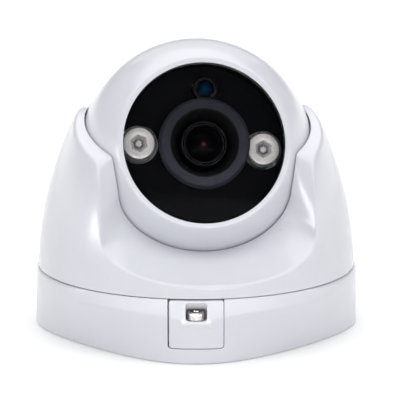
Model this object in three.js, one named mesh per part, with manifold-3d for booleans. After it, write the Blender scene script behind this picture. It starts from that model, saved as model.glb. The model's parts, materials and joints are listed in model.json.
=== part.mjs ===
// Dome (turret) surveillance camera: fixed base, turning cover, tilting and rolling camera ball.
// Millimetres, +Z up, front towards -Y. The origin is the middle of the base's underside.
import * as THREE from 'three';
import { mergeVertices } from 'three/addons/utils/BufferGeometryUtils.js';
import Module from 'manifold-3d';

const wasm = await Module();
wasm.setup();

const DEG = Math.PI / 180;
const GAP = 0.3; // clearance between touching pieces
const SLIT = 0.5; // clearance round the ball
const FINE = 32; // sides of a large round
const MEDIUM = 20;
const SMALL = 12;

// Base
const BASE_R = 61; // to the four noses
const BASE_FLAT = 56.5; // axis to each diagonal flat, at the underside, before blending
const FLAT_BLEND = 15; // softness of the corners between flats and noses
const BASE_TOP_R = 60.5; // round top of the wall
const BASE_H = 22.5;
const FLARE_H = 19.5; // height where the wall has become round
const LIP_R = 59.4; // top edge, after the rounded lip
const LIP_H = 1.2;
const CHAMFER_SLOPE = 0.18; // front chamfer, radius lost per millimetre of height
const CHAMFER_HALF_ANGLE = 52 * DEG;
const CHAMFER_FADE = 12 * DEG;
const FLOOR_T = 3;
const LEDGE_Z = 12;
const CAVITY_R = 50.3;
const LEDGE_R = 46;
const FOOT_SCREW_R = 36;
const FOOT_HOLE_R = 2.3;
const CABLE_HOLE_R = 9.5;
const CABLE_R = 4;
const GROMMET_FLANGE = 2.5;

// M3 screws
const M3_R = 1.5;
const M3_BORE_R = M3_R + GAP;
const M3_CAP_HEAD_R = 3;
const M3_CAP_HEAD_H = 2.7;
const M3_SINK_HEAD_R = 2.7;
const M3_SINK_HEAD_H = 1.4;

// Locking block in the front nose of the base
const BLOCK_W = 19;
const BLOCK_BOTTOM = 5.5;
const BLOCK_BACK = 53;
const POCKET_W = 7.9;
const POCKET_BOTTOM = 15;
const POCKET_H = 6.5;
const POCKET_BACK = 54.4;
const LOCK_SCREW_Y = -57.9;

// Cover: a wide arc turned about the vertical axis
const COVER_BOTTOM = BASE_H + GAP;
const COVER_R = 59.8;
const COVER_ARC_R = 136;
const COVER_ARC_Z = 17.4; // height of the arc's centre
const COVER_WALL = 2.5;
const REST_PAN = 6.2 * DEG;

// Opening of the cover: a U seen from the front, with a sloping top that levels out behind
const CREASE = { halfWidth: 38.4, centreZ: 42.5, depth: 15.3, roundness: 2.4, lean: 0 };
const MOUTH = { halfWidth: 31, centreZ: 55, depth: 21.25, roundness: 2, lean: 0.15 };
const TOP_SLOPE = 0.38;
const TOP_REF_Y = -10;
const TOP_REF_Z = 75.6;
const REAR_RIM_Z = 80.7;
const LIP_DEPTH = 2.7; // length of the seat that hugs the ball

// Turn plate, seat and rings under the cover
const PLATE_T = 2.1;
const PLATE_R = 55.8;
const PLATE_HOLE_R = 23;
const SPIGOT_R = 49.8;
const SPIGOT_T = 2.3;
const SEAT_IN_R = 24;
const SEAT_OUT_R = 30;
const COVER_SCREW_R = 52.6;
const COVER_BOSS_R = 3.9;
const COVER_BOSS_H = 10;
const CABLE_SLOT = { halfWidth: 8, from: 33, to: 45 };

// Ball
const BALL_Z = 63.4;
const BALL_R = 43.9;
const SHELL_T = 2.7;
const REST_YAW = 6 * DEG;
const REST_TILT = 17.4 * DEG;
const REST_ROLL = 3.6 * DEG;
const SEAM_H = -6; // where the two half shells meet, along the optical axis
const BEZEL_R = 31.6;
const FACE_H = 31.2;
const WINDOW_R = 29.1;
const GLASS_R = 30.6;
const GLASS_T = 2;
const GLASS_FRONT = 30;
const SHELL_SCREW_R = 37.5;
const BUSH_R = 13.2;
const BUSH_FRONT = -35.6;
const BUSH_FLANGE = { width: 3, thickness: 1.5 };
const SEAL_R = 42.1;
const SEAL_CORD_R = 0.65;
const SHELL_SCREW_HEAD = { radius: 2.6, height: 2.3, seat: -13.3 };
const SHELL_SCREW_END = 4;
const SHELL_BOSS_R = 3.8;
const REAR_BOSS_R = 4.2;
const HEAD_WELL_R = 3.1;

// Camera module inside the ball, heights along the optical axis
const MASK_FRONT = 16.8;
const MASK_T = 1.5;
const MASK_HOLE_R = 13;
const MASK_WALL = { inner: 30.3, outer: 31.4, front: 25.6 };
const LENS_AXIS = { x: 0.4, z: 0.5 }; // lens and hood sit a little off the middle of the mask
const HOOD_FRONT = 27.7;
const HOOD_R = 16.5;
const HOOD_MOUTH_R = 12.4;
const HOOD_NECK = { radius: 12.6, back: 13.2, flare: 18 };
const HOOD_BORE = { back: 9.2, front: 9.4, depth: 20.6 };
const HOOD_SIDE_H = 23.5; // where the flare has reached the full radius
const HOOD_BEVEL = 1.15;
const LENS_HEAD_R = 8.5;
const LENS_BODY_R = 6;
const LENS_FRONT = 25.3;
const LENS_BORE_R = 5.2;
const LENS_CUP = { radius: 7.6, floor: 19.9 };
const LENS_NECK_H = 18.5;
const FRONT_ELEMENT = { radius: 6.3, back: 20.3, front: 23.4, sag: 1.7 };
const LED_OFFSET = { x: 22.8, z: 0.35 };
const LED_CAP_R = 5.75;
const LED_CAP_FRONT = 19.8;
const LED_CAP_BACK = 14;
const LED_BOWL = { radius: 3.3, floorR: 2, depth: 2.2, middleR: 1.4 };
const LED_COLLAR = { thickness: 0.45, back: 12.5, front: 19.3, tab: 3.2 };
const LED_WELL_R = 7.2;
const LED_BOARD = { radius: 28, low: 10.4, high: 12 };
const HEAT_SPREADER = { radius: 29, low: 8.2, high: 10.1 };
const LIGHT_SENSOR_OFFSET = { x: 0.6, z: 21.6 };
const LIGHT_SENSOR_R = 4.5;
const BOARD_W = 38;
const BOARD_T = 1.6;
const BOARD_HOLE_OFFSET = 15.5;
const SENSOR_BOARD_H = -13.6;
const MAIN_BOARD_H = -23.5;
const RING_HOLE_R = 13.2; // hole of the LED board and of the heat spreader

// ---------- solid modelling helpers ----------

function asSolid(geometry) {
  const bare = geometry.clone();
  bare.deleteAttribute('normal');
  bare.deleteAttribute('uv');
  const merged = mergeVertices(bare, 1e-4);
  const index = merged.index.array;
  const kept = [];
  for (let i = 0; i < index.length; i += 3) {
    const [a, b, c] = [index[i], index[i + 1], index[i + 2]];
    if (a !== b && b !== c && a !== c) kept.push(a, b, c);
  }
  const vertProperties = merged.attributes.position.array;
  const made = new wasm.Manifold(
    new wasm.Mesh({ numProp: 3, vertProperties, triVerts: new Uint32Array(kept) }),
  );
  if (made.volume() > 0) return made;
  const turned = [];
  for (let i = 0; i < kept.length; i += 3) turned.push(kept[i], kept[i + 2], kept[i + 1]);
  return new wasm.Manifold(
    new wasm.Mesh({ numProp: 3, vertProperties, triVerts: new Uint32Array(turned) }),
  );
}

function asGeometry(solid) {
  const mesh = solid.getMesh();
  const geometry = new THREE.BufferGeometry();
  geometry.setAttribute('position', new THREE.BufferAttribute(mesh.vertProperties, 3));
  geometry.setIndex(new THREE.BufferAttribute(mesh.triVerts, 1));
  geometry.computeVertexNormals();
  return geometry;
}

function cut(body, ...tools) {
  return tools.reduce((left, tool) => left.subtract(tool), body);
}

function join(body, ...others) {
  return others.reduce((sum, other) => sum.add(other), body);
}

// A profile of [radius, height] pairs turned about +Z. It closes on itself or ends on the axis.
function turned(profile, segments = FINE) {
  const points = profile.map(([r, z]) => new THREE.Vector2(r, z));
  if (profile[0][0] > 0) points.push(points[0].clone());
  return asSolid(new THREE.LatheGeometry(points, segments).rotateX(Math.PI / 2));
}

// The same about the optical axis, with heights measured forwards (towards -Y).
function turnedForward(profile, segments = FINE) {
  const points = profile.map(([r, h]) => new THREE.Vector2(r, -h));
  if (profile[0][0] > 0) points.push(points[0].clone());
  return asSolid(new THREE.LatheGeometry(points, segments));
}

function ring(inner, outer, low, high, segments = FINE) {
  return turned([[inner, low], [outer, low], [outer, high], [inner, high]], segments);
}

function rod(radius, low, high, x = 0, y = 0, segments = SMALL) {
  const height = high - low;
  const geometry = new THREE.CylinderGeometry(radius, radius, height, segments);
  return asSolid(geometry.rotateX(Math.PI / 2).translate(x, y, low + height / 2));
}

// A rod along the optical axis, from height low to high, at (x, z) beside the axis.
function rodForward(radius, low, high, x = 0, z = 0, segments = SMALL) {
  const height = high - low;
  const geometry = new THREE.CylinderGeometry(radius, radius, height, segments);
  return asSolid(geometry.translate(x, -(low + height / 2), z));
}

function box(x0, x1, y0, y1, z0, z1) {
  const geometry = new THREE.BoxGeometry(x1 - x0, y1 - y0, z1 - z0);
  return asSolid(geometry.translate((x0 + x1) / 2, (y0 + y1) / 2, (z0 + z1) / 2));
}

function boxForward(width, depth, low, high, x = 0, z = 0) {
  return box(x - width / 2, x + width / 2, -high, -low, z - depth / 2, z + depth / 2);
}

// Points on a circle about the origin of the (radius, height) plane, between two heights.
function arcByHeight(radius, from, to, steps) {
  const start = Math.asin(from / radius);
  const end = Math.asin(to / radius);
  const points = [];
  for (let i = 0; i <= steps; i++) {
    const angle = start + ((end - start) * i) / steps;
    points.push([radius * Math.cos(angle), radius * Math.sin(angle)]);
  }
  return points;
}

// A closed skin through rows of points: every row is a loop, and the rows close on each other
// when ringed, or are capped at the first and last row.
function skin(rows, ringed) {
  const columns = rows[0].length;
  const positions = rows.flat().flatMap((p) => [p.x, p.y, p.z]);
  const index = [];
  const last = ringed ? rows.length : rows.length - 1;
  for (let j = 0; j < last; j++) {
    const next = ((j + 1) % rows.length) * columns;
    for (let i = 0; i < columns; i++) {
      const k = (i + 1) % columns;
      index.push(j * columns + i, j * columns + k, next + k);
      index.push(j * columns + i, next + k, next + i);
    }
  }
  if (!ringed) {
    const top = (rows.length - 1) * columns;
    for (let i = 1; i < columns - 1; i++) {
      index.push(0, i + 1, i);
      index.push(top, top + i, top + i + 1);
    }
  }
  const geometry = new THREE.BufferGeometry();
  geometry.setAttribute('position', new THREE.Float32BufferAttribute(positions, 3));
  geometry.setIndex(index);
  return asSolid(geometry);
}

const smoothMin = (a, b, soft) => {
  const h = Math.max(soft - Math.abs(a - b), 0) / soft;
  return Math.min(a, b) - (h * h * soft) / 4;
};

const step01 = (t) => {
  const c = Math.min(Math.max(t, 0), 1);
  return c * c * (3 - 2 * c);
};

// ---------- base ----------

// Outline of the underside: a circle with four blended diagonal flats. Angle 0 is the front.
function footRadius(angle) {
  const quarter = Math.PI / 2;
  const fromNose = Math.abs(((angle + 8 * quarter + quarter / 2) % quarter) - quarter / 2);
  const flat = BASE_FLAT / Math.cos(quarter / 2 - fromNose);
  return smoothMin(BASE_R, flat, FLAT_BLEND);
}

function baseRadius(angle, z) {
  const foot = footRadius(angle);
  const rise = Math.min(z / FLARE_H, 1);
  const round = THREE.MathUtils.lerp(foot, BASE_TOP_R, (rise + step01(rise)) / 2);
  const lip = BASE_H - z;
  const rounded = lip < LIP_H ? round - (round - LIP_R) * (1 - lip / LIP_H) ** 2 : round;
  const fromFront = Math.abs(Math.atan2(Math.sin(angle), Math.cos(angle)));
  const chamfer = LIP_R + CHAMFER_SLOPE * lip;
  const weight = step01((CHAMFER_HALF_ANGLE - fromFront) / CHAMFER_FADE);
  return THREE.MathUtils.lerp(rounded, Math.min(rounded, chamfer), weight);
}

function baseBlank() {
  const heights = [0, 4, 8, 12, 14.5, 17, 19.5, BASE_H - LIP_H, BASE_H - LIP_H / 3, BASE_H];
  const columns = 64;
  const rows = heights.map((z) => {
    const row = [];
    for (let i = 0; i < columns; i++) {
      const angle = (i / columns) * 2 * Math.PI;
      const r = baseRadius(angle, z);
      row.push(new THREE.Vector3(r * Math.sin(angle), -r * Math.cos(angle), z));
    }
    return row;
  });
  return skin(rows, false);
}

function footScrewPlaces() {
  return [60, 180, 300].map((degrees) => [
    FOOT_SCREW_R * Math.sin(degrees * DEG),
    -FOOT_SCREW_R * Math.cos(degrees * DEG),
  ]);
}

function baseHousing() {
  const cavity = turned([
    [0, FLOOR_T],
    [LEDGE_R, FLOOR_T],
    [LEDGE_R, LEDGE_Z],
    [CAVITY_R, LEDGE_Z],
    [CAVITY_R, BASE_H + 1],
    [0, BASE_H + 1],
  ]);
  const half = BLOCK_W / 2 + GAP;
  const nook = box(-half, half, -BASE_R - 2, -BLOCK_BACK + GAP, BLOCK_BOTTOM - GAP, BASE_H + 1);
  const holes = footScrewPlaces().map(([x, y]) => rod(FOOT_HOLE_R, -1, FLOOR_T + 1, x, y));
  const cableHole = rod(CABLE_HOLE_R, -1, FLOOR_T + 1, 0, 0, MEDIUM);
  return cut(baseBlank(), cavity, nook, cableHole, ...holes);
}

function lockingBlock() {
  const half = BLOCK_W / 2;
  const body = baseBlank().intersect(
    box(-half, half, -BASE_R - 2, -BLOCK_BACK, BLOCK_BOTTOM, BASE_H - 0.1),
  );
  const pocketTop = POCKET_BOTTOM + POCKET_H;
  const side = POCKET_W / 2;
  const pocket = box(-side, side, -BASE_R - 2, -POCKET_BACK, POCKET_BOTTOM, pocketTop);
  const bore = rod(M3_BORE_R, BLOCK_BOTTOM + 1, POCKET_BOTTOM + 1, 0, LOCK_SCREW_Y);
  return cut(body, pocket, bore);
}

// M3 socket head screw standing upright: head, shank and a hexagonal socket in its top.
function lockingScrew() {
  const seat = POCKET_BOTTOM + GAP;
  const top = seat + M3_CAP_HEAD_H;
  const length = 8;
  const rounding = 0.5;
  const body = turned([
    [0, seat - length],
    [M3_R, seat - length],
    [M3_R, seat],
    [M3_CAP_HEAD_R, seat],
    [M3_CAP_HEAD_R, top - rounding],
    [M3_CAP_HEAD_R - rounding, top],
    [0, top],
  ], SMALL);
  const socket = rod(M3_CAP_HEAD_R * 0.48, top - M3_CAP_HEAD_H / 2, top + 1, 0, 0, 6);
  return cut(body, socket).translate([0, LOCK_SCREW_Y, 0]);
}

function cableGrommet() {
  return turned([
    [CABLE_R, 2 * GAP],
    [CABLE_HOLE_R - GAP, 2 * GAP],
    [CABLE_HOLE_R - GAP, FLOOR_T + GAP],
    [CABLE_HOLE_R + GROMMET_FLANGE, FLOOR_T + GAP],
    [CABLE_HOLE_R + GROMMET_FLANGE, FLOOR_T + 1.6],
    [CABLE_R + GROMMET_FLANGE, FLOOR_T + 4],
    [CABLE_R, FLOOR_T + 4],
  ], MEDIUM);
}

// ---------- cover ----------

const coverRadius = (z) =>
  COVER_R - COVER_ARC_R + Math.sqrt(COVER_ARC_R ** 2 - (z - COVER_ARC_Z) ** 2);

const seatRadius = (z) => {
  const reach = BALL_R + SLIT;
  return Math.sqrt(Math.max(reach ** 2 - (z - BALL_Z) ** 2, 0));
};

const topHeight = (y) => smoothMin(TOP_REF_Z + TOP_SLOPE * (y - TOP_REF_Y), REAR_RIM_Z, 2);

// One edge of the opening, from the bottom of the U (t = 0) up its side (t = 1 to 2), then back
// along the sloping top to the middle of the rear rim (t = 3), on a surface of the given radius.
function openingPoint(t, edge, radiusAt, drop) {
  const { halfWidth, centreZ, depth, roundness, lean } = edge;
  const wide = halfWidth + drop;
  const wideAt = (z) => wide + lean * Math.max(z - centreZ, 0);
  const onTop = (azimuth) => {
    let z = TOP_REF_Z - drop;
    for (let i = 0; i < 12; i++) z = topHeight(-radiusAt(z) * Math.cos(azimuth)) - drop;
    const r = radiusAt(z);
    return new THREE.Vector3(r * Math.sin(azimuth), -r * Math.cos(azimuth), z);
  };
  let cornerAzimuth = 45 * DEG;
  for (let i = 0; i < 12; i++) {
    const corner = onTop(cornerAzimuth);
    cornerAzimuth = Math.asin(wideAt(corner.z) / Math.hypot(corner.x, corner.y));
  }
  if (t >= 2) return onTop(THREE.MathUtils.lerp(cornerAzimuth, Math.PI, t - 2));
  let z = THREE.MathUtils.lerp(centreZ, onTop(cornerAzimuth).z, t - 1);
  let x = wideAt(z);
  if (t < 1) {
    const angle = (t * Math.PI) / 2;
    x = wide * Math.sin(angle) ** (2 / roundness);
    z = centreZ - (depth + drop) * Math.cos(angle) ** (2 / roundness);
  }
  return new THREE.Vector3(x, -Math.sqrt(radiusAt(z) ** 2 - x * x), z);
}

// Cylinder coordinates of a point halfway (by share) between the foot of the wall and a crease.
function wallPoint(point, footAngle, share, radiusAt) {
  const azimuth = THREE.MathUtils.lerp(footAngle, Math.atan2(point.x, -point.y), share);
  const z = THREE.MathUtils.lerp(COVER_BOTTOM, point.z, share);
  const r = radiusAt(z);
  return new THREE.Vector3(r * Math.sin(azimuth), -r * Math.cos(azimuth), z);
}

// The section of the cover at one place t round the opening, as a closed loop of points.
function coverSection(t) {
  const frontShare = 0.22; // of the wall's foot, below the curved part of the U
  const along = t < 1 ? t * frontShare : frontShare + ((t - 1) / 2) * (1 - frontShare);
  const footAngle = Math.PI * along;
  const innerRadius = (z) => coverRadius(z) - COVER_WALL;
  const crease = openingPoint(t, CREASE, coverRadius, 0);
  const mouth = openingPoint(t, MOUTH, seatRadius, 0);
  const seatEnd = openingPoint(t, MOUTH, seatRadius, LIP_DEPTH);
  const innerCrease = openingPoint(t, CREASE, innerRadius, COVER_WALL * 0.6);
  const section = [];
  for (const share of [0, 0.33, 0.66]) {
    section.push(wallPoint(crease, footAngle, share, coverRadius));
  }
  section.push(crease, crease.clone().lerp(mouth, 0.5), mouth, seatEnd, innerCrease);
  for (const share of [0.6, 0]) {
    section.push(wallPoint(innerCrease, footAngle, share, innerRadius));
  }
  return section;
}

function coverScrewPlaces() {
  return [60, 180, 300].map((degrees) => [
    COVER_SCREW_R * Math.sin(degrees * DEG),
    -COVER_SCREW_R * Math.cos(degrees * DEG),
  ]);
}

function coverShell() {
  const stations = [];
  for (let i = 0; i < 12; i++) stations.push(i / 12);
  for (let i = 0; i < 6; i++) stations.push(1 + i / 6);
  for (let i = 0; i <= 24; i++) stations.push(2 + i / 24);
  const half = stations.map(coverSection);
  const mirrored = half
    .slice(1, -1)
    .reverse()
    .map((section) => section.map((p) => new THREE.Vector3(-p.x, p.y, p.z)));
  const shell = skin([...half, ...mirrored], true);
  const plateTop = COVER_BOTTOM + PLATE_T + GAP;
  const bossTop = plateTop + COVER_BOSS_H;
  const places = coverScrewPlaces();
  const bosses = places.map(([x, y]) => rod(COVER_BOSS_R, plateTop, bossTop, x, y));
  const bores = places.map(([x, y]) => rod(M3_BORE_R, plateTop - 1, bossTop - 3, x, y));
  return cut(join(shell, ...bosses), ...bores);
}

function turnPlate() {
  const top = COVER_BOTTOM + PLATE_T;
  const body = turned([
    [PLATE_HOLE_R, COVER_BOTTOM],
    [SPIGOT_R - SPIGOT_T, COVER_BOTTOM],
    [SPIGOT_R - SPIGOT_T, LEDGE_Z + 2.4],
    [SPIGOT_R, LEDGE_Z + 2.4],
    [SPIGOT_R, COVER_BOTTOM],
    [PLATE_R, COVER_BOTTOM],
    [PLATE_R, top],
    [PLATE_HOLE_R, top],
  ]);
  const { halfWidth, from, to } = CABLE_SLOT;
  const cableSlot = box(-halfWidth, halfWidth, from, to, COVER_BOTTOM - 1, top + 1);
  const sinkTop = COVER_BOTTOM + 0.2;
  const sinks = coverScrewPlaces().map(([x, y]) =>
    turned([
      [0, COVER_BOTTOM - 1],
      [M3_SINK_HEAD_R + GAP, COVER_BOTTOM - 1],
      [M3_SINK_HEAD_R + GAP, sinkTop],
      [M3_BORE_R, sinkTop + M3_SINK_HEAD_H],
      [M3_BORE_R, top + 1],
      [0, top + 1],
    ], SMALL).translate([x, y, 0]),
  );
  return cut(body, cableSlot, ...sinks);
}

// Countersunk M3 screw with its head downwards.
function coverScrew([x, y]) {
  const face = COVER_BOTTOM + 0.1;
  const length = 8.4;
  const body = turned([
    [0, face],
    [M3_SINK_HEAD_R, face],
    [M3_R, face + M3_SINK_HEAD_H],
    [M3_R, face + length],
    [0, face + length],
  ], SMALL);
  const socket = rod(1.1, face - 1, face + 1, 0, 0, 6);
  return cut(body, socket).translate([x, y, 0]);
}

function frictionRing() {
  return ring(LEDGE_R + GAP, CAVITY_R - GAP, LEDGE_Z + GAP, LEDGE_Z + 2.1);
}

function ballSeat() {
  const low = COVER_BOTTOM + PLATE_T + GAP;
  const profile = [[SEAT_IN_R, low], [SEAT_OUT_R, low]];
  const steps = 4;
  for (let i = 0; i <= steps; i++) {
    const r = THREE.MathUtils.lerp(SEAT_OUT_R, SEAT_IN_R, i / steps);
    profile.push([r, BALL_Z - Math.sqrt((BALL_R + GAP) ** 2 - r * r)]);
  }
  return turned(profile);
}

// ---------- ball shells, window and bush ----------

const aroundAxis = (degrees, radius) => [
  radius * Math.sin(degrees * DEG),
  radius * Math.cos(degrees * DEG),
];

const shellScrewPlaces = () => [90, 180, 270].map((degrees) => aroundAxis(degrees, SHELL_SCREW_R));

function frontShell() {
  const inner = BALL_R - SHELL_T;
  const sphereAtBezel = Math.sqrt(BALL_R ** 2 - BEZEL_R ** 2);
  const pocketR = GLASS_R + GAP;
  const grooveIn = SEAL_R - 0.8;
  const grooveOut = SEAL_R + 0.8;
  const grooveH = SEAM_H + 1.6;
  const body = turnedForward([
    ...arcByHeight(BALL_R, SEAM_H, sphereAtBezel, 7),
    [BEZEL_R - 0.8, FACE_H],
    [WINDOW_R, FACE_H],
    [WINDOW_R, GLASS_FRONT + GAP],
    [pocketR, GLASS_FRONT + GAP],
    ...arcByHeight(inner, Math.sqrt(inner ** 2 - pocketR ** 2), SEAM_H, 5),
    [grooveIn, SEAM_H],
    [grooveIn, grooveH],
    [grooveOut, grooveH],
    [grooveOut, SEAM_H],
  ]);
  const places = shellScrewPlaces();
  const bosses = places.map(([x, z]) => rodForward(SHELL_BOSS_R, SEAM_H, 8, x, z));
  const bores = places.map(([x, z]) => rodForward(M3_BORE_R, SEAM_H - 1, 6, x, z));
  const trimmed = bosses.map((boss) => boss.intersect(ballBlank(BALL_R - 0.5)));
  return cut(join(body, ...trimmed), ...bores);
}

function ballBlank(radius) {
  return asSolid(new THREE.SphereGeometry(radius, 24, 12));
}

function rearShell() {
  const inner = BALL_R - SHELL_T;
  const seam = SEAM_H - GAP;
  const mouth = BUSH_R + GAP;
  const body = turnedForward([
    ...arcByHeight(BALL_R, seam, -Math.sqrt(BALL_R ** 2 - mouth ** 2), 6),
    ...arcByHeight(inner, -Math.sqrt(inner ** 2 - mouth ** 2), seam, 4),
  ]);
  const places = shellScrewPlaces();
  const bosses = places.map(([x, z]) =>
    rodForward(REAR_BOSS_R, -24, seam, x, z).intersect(ballBlank(BALL_R - 0.5)),
  );
  const wellFloor = SHELL_SCREW_HEAD.seat + GAP;
  const headWells = places.map(([x, z]) => rodForward(HEAD_WELL_R, -30, wellFloor, x, z));
  const bores = places.map(([x, z]) => rodForward(M3_BORE_R, wellFloor - 1, 0, x, z));
  return cut(join(body, ...bosses), ...headWells, ...bores);
}

function shellScrew([x, z]) {
  const { radius, height, seat } = SHELL_SCREW_HEAD;
  const back = seat - height;
  const body = turnedForward([
    [0, back],
    [radius, back],
    [radius, seat],
    [M3_R, seat],
    [M3_R, SHELL_SCREW_END],
    [0, SHELL_SCREW_END],
  ], SMALL);
  const socket = rodForward(radius / 2, back - 1, seat - 1, 0, 0, 6);
  return cut(body, socket).translate([x, 0, z]);
}

function shellSeal() {
  const geometry = new THREE.TorusGeometry(SEAL_R, SEAL_CORD_R, 6, FINE);
  return asSolid(geometry.rotateX(Math.PI / 2).translate(0, -(SEAM_H + 0.8), 0));
}

function windowGlass() {
  return turnedForward([
    [0, GLASS_FRONT - GLASS_T],
    [GLASS_R, GLASS_FRONT - GLASS_T],
    [GLASS_R, GLASS_FRONT],
    [0, GLASS_FRONT],
  ]);
}

function ringForward(inner, outer, low, high, segments = FINE) {
  return turnedForward([[inner, low], [outer, low], [outer, high], [inner, high]], segments);
}

function cableBush() {
  const rim = -Math.sqrt(BALL_R ** 2 - BUSH_R ** 2);
  const hole = -Math.sqrt(BALL_R ** 2 - CABLE_R ** 2);
  const flangeR = BUSH_R + BUSH_FLANGE.width;
  const flangeBack = BUSH_FRONT - BUSH_FLANGE.thickness;
  return turnedForward([
    ...arcByHeight(BALL_R, rim, hole, 4),
    [CABLE_R, BUSH_FRONT],
    [flangeR, BUSH_FRONT],
    [flangeR, flangeBack],
    [BUSH_R, flangeBack],
  ], MEDIUM);
}

// ---------- camera module ----------

function onLensAxis(solid) {
  return solid.translate([LENS_AXIS.x, 0, LENS_AXIS.z]);
}

function ledPlace(side) {
  return [side * LED_OFFSET.x, LED_OFFSET.z];
}

function innerMask() {
  const back = MASK_FRONT - MASK_T;
  const { inner, outer, front } = MASK_WALL;
  const blankHoleR = MASK_HOLE_R - 2;
  const body = turnedForward([
    [blankHoleR, back],
    [outer, back],
    [outer, front],
    [inner, front],
    [inner, MASK_FRONT],
    [blankHoleR, MASK_FRONT],
  ]);
  const through = [back - 1, MASK_FRONT + 1];
  const ledHoles = [-1, 1].map((side) =>
    rodForward(LED_WELL_R, ...through, ...ledPlace(side), MEDIUM),
  );
  const { x, z } = LIGHT_SENSOR_OFFSET;
  const sensorHole = rodForward(LIGHT_SENSOR_R + GAP, ...through, x, z, MEDIUM);
  const lensHole = rodForward(MASK_HOLE_R, ...through, LENS_AXIS.x, LENS_AXIS.z, FINE);
  return cut(body, ...ledHoles, sensorHole, lensHole);
}

function lensHood() {
  return turnedForward([
    [HOOD_BORE.back, HOOD_NECK.back],
    [HOOD_NECK.radius, HOOD_NECK.back],
    [HOOD_NECK.radius, HOOD_NECK.flare],
    [HOOD_R, HOOD_SIDE_H],
    [HOOD_R, HOOD_FRONT - HOOD_BEVEL],
    [HOOD_R - HOOD_BEVEL, HOOD_FRONT],
    [HOOD_MOUTH_R, HOOD_FRONT],
    [HOOD_MOUTH_R - HOOD_BEVEL / 4, HOOD_FRONT - HOOD_BEVEL / 2],
    [HOOD_BORE.front, HOOD_BORE.depth],
  ]);
}

function lensBarrel() {
  return turnedForward([
    [LENS_BORE_R, -4],
    [LENS_BODY_R, -4],
    [LENS_BODY_R, LENS_NECK_H],
    [LENS_HEAD_R, LENS_NECK_H],
    [LENS_HEAD_R, LENS_FRONT - 0.5],
    [LENS_HEAD_R - 0.5, LENS_FRONT],
    [LENS_CUP.radius, LENS_FRONT],
    [LENS_CUP.radius, LENS_CUP.floor],
    [LENS_BORE_R, LENS_CUP.floor],
  ], MEDIUM);
}

function lensFrontElement() {
  const { radius, back, front, sag } = FRONT_ELEMENT;
  const dome = [1, 0.75, 0.5, 0.25, 0].map((share) => [radius * share, front - sag * share ** 2]);
  return turnedForward([[0, back], [radius, back], ...dome], MEDIUM);
}

function lensHolder() {
  const body = join(boxForward(17, 17, -10, -7), rodForward(8, -7.5, -1.5, 0, 0, MEDIUM));
  return cut(body, rodForward(LENS_BODY_R + GAP, -11, 0, 0, 0, MEDIUM));
}

function ledCap(side) {
  const [x, z] = ledPlace(side);
  const { radius, floorR, depth, middleR } = LED_BOWL;
  return turnedForward([
    [0, LED_CAP_BACK],
    [LED_CAP_R - 1, LED_CAP_BACK],
    [LED_CAP_R, LED_CAP_BACK + 1.5],
    [LED_CAP_R, LED_CAP_FRONT],
    [radius, LED_CAP_FRONT - 0.4],
    [floorR, LED_CAP_FRONT - depth],
    [middleR, LED_CAP_FRONT - 0.65 * depth],
    [0, LED_CAP_FRONT - 0.45 * depth],
  ], MEDIUM).translate([x, 0, z]);
}

function ledCollar(side) {
  const [x, z] = ledPlace(side);
  const inner = LED_CAP_R + GAP;
  const { thickness, back, front, tab } = LED_COLLAR;
  const band = ringForward(inner, inner + thickness, back, front, MEDIUM);
  const tabs = [-1, 1].map((end) =>
    boxForward(tab, 0.5, back, front + 0.2, 0, end * (inner + 0.35)),
  );
  const turn = side < 0 ? 40 : 0;
  return join(band, ...tabs).rotate([0, turn, 0]).translate([x, 0, z]);
}

function ledBoard() {
  return ringForward(RING_HOLE_R, LED_BOARD.radius, LED_BOARD.low, LED_BOARD.high);
}

function heatSpreader() {
  const { radius, low, high } = HEAT_SPREADER;
  return ringForward(RING_HOLE_R, radius, low, high);
}

function board(low) {
  const body = boxForward(BOARD_W, BOARD_W, low, low + BOARD_T);
  const holes = boardCorners().map(([x, z]) => rodForward(1.1, low - 1, low + 3, x, z, 8));
  return cut(body, ...holes);
}

function boardCorners() {
  const d = BOARD_HOLE_OFFSET;
  return [[d, d], [-d, d], [-d, -d], [d, -d]];
}

// ---------- materials ----------

const finish = (color, roughness, metalness = 0) =>
  new THREE.MeshStandardMaterial({ color, roughness, metalness });

const WHITE_PAINT = finish(0xe4e5ec, 0.45);
const STEEL = finish(0xb9b6b2, 0.3, 1);
const BRASS = finish(0xc2a25a, 0.35, 1);
const ALUMINIUM = finish(0xa9acb0, 0.45, 1);
const RUBBER = finish(0x1b1b1d, 0.85);
const BLACK_PLASTIC = finish(0x0a0a0c, 0.6);
const CHARCOAL = finish(0x2d2f38, 0.65);
const GREY_PLASTIC = finish(0x8c8f94, 0.55);
const CLEAR_GLASS = new THREE.MeshStandardMaterial({
  color: 0xf2f6f8, roughness: 0.05, transparent: true, opacity: 0.25,
});
const LED_LENS = finish(0xb5b0ae, 0.25);
const BLUE_GLASS = finish(0x0c2850, 0.1);
const BOARD_GREEN = finish(0x1d5a36, 0.5);
const BOARD_WHITE = finish(0xd9dad6, 0.5);
const CHIP_BLACK = finish(0x16161a, 0.4);
const PHOSPHOR = finish(0xd8c66a, 0.5);

// ---------- assembly ----------

function piece(parent, name, solid, material) {
  const mesh = new THREE.Mesh(asGeometry(solid), material);
  mesh.name = name;
  parent.add(mesh);
}

function baseGroup() {
  const group = new THREE.Group();
  piece(group, 'base_housing', baseHousing(), WHITE_PAINT);
  piece(group, 'pan_friction_ring', frictionRing(), GREY_PLASTIC);
  piece(group, 'cable_grommet', cableGrommet(), RUBBER);
  piece(group, 'locking_block', lockingBlock(), WHITE_PAINT);
  piece(group, 'locking_screw', lockingScrew(), STEEL);
  return group;
}

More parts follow.
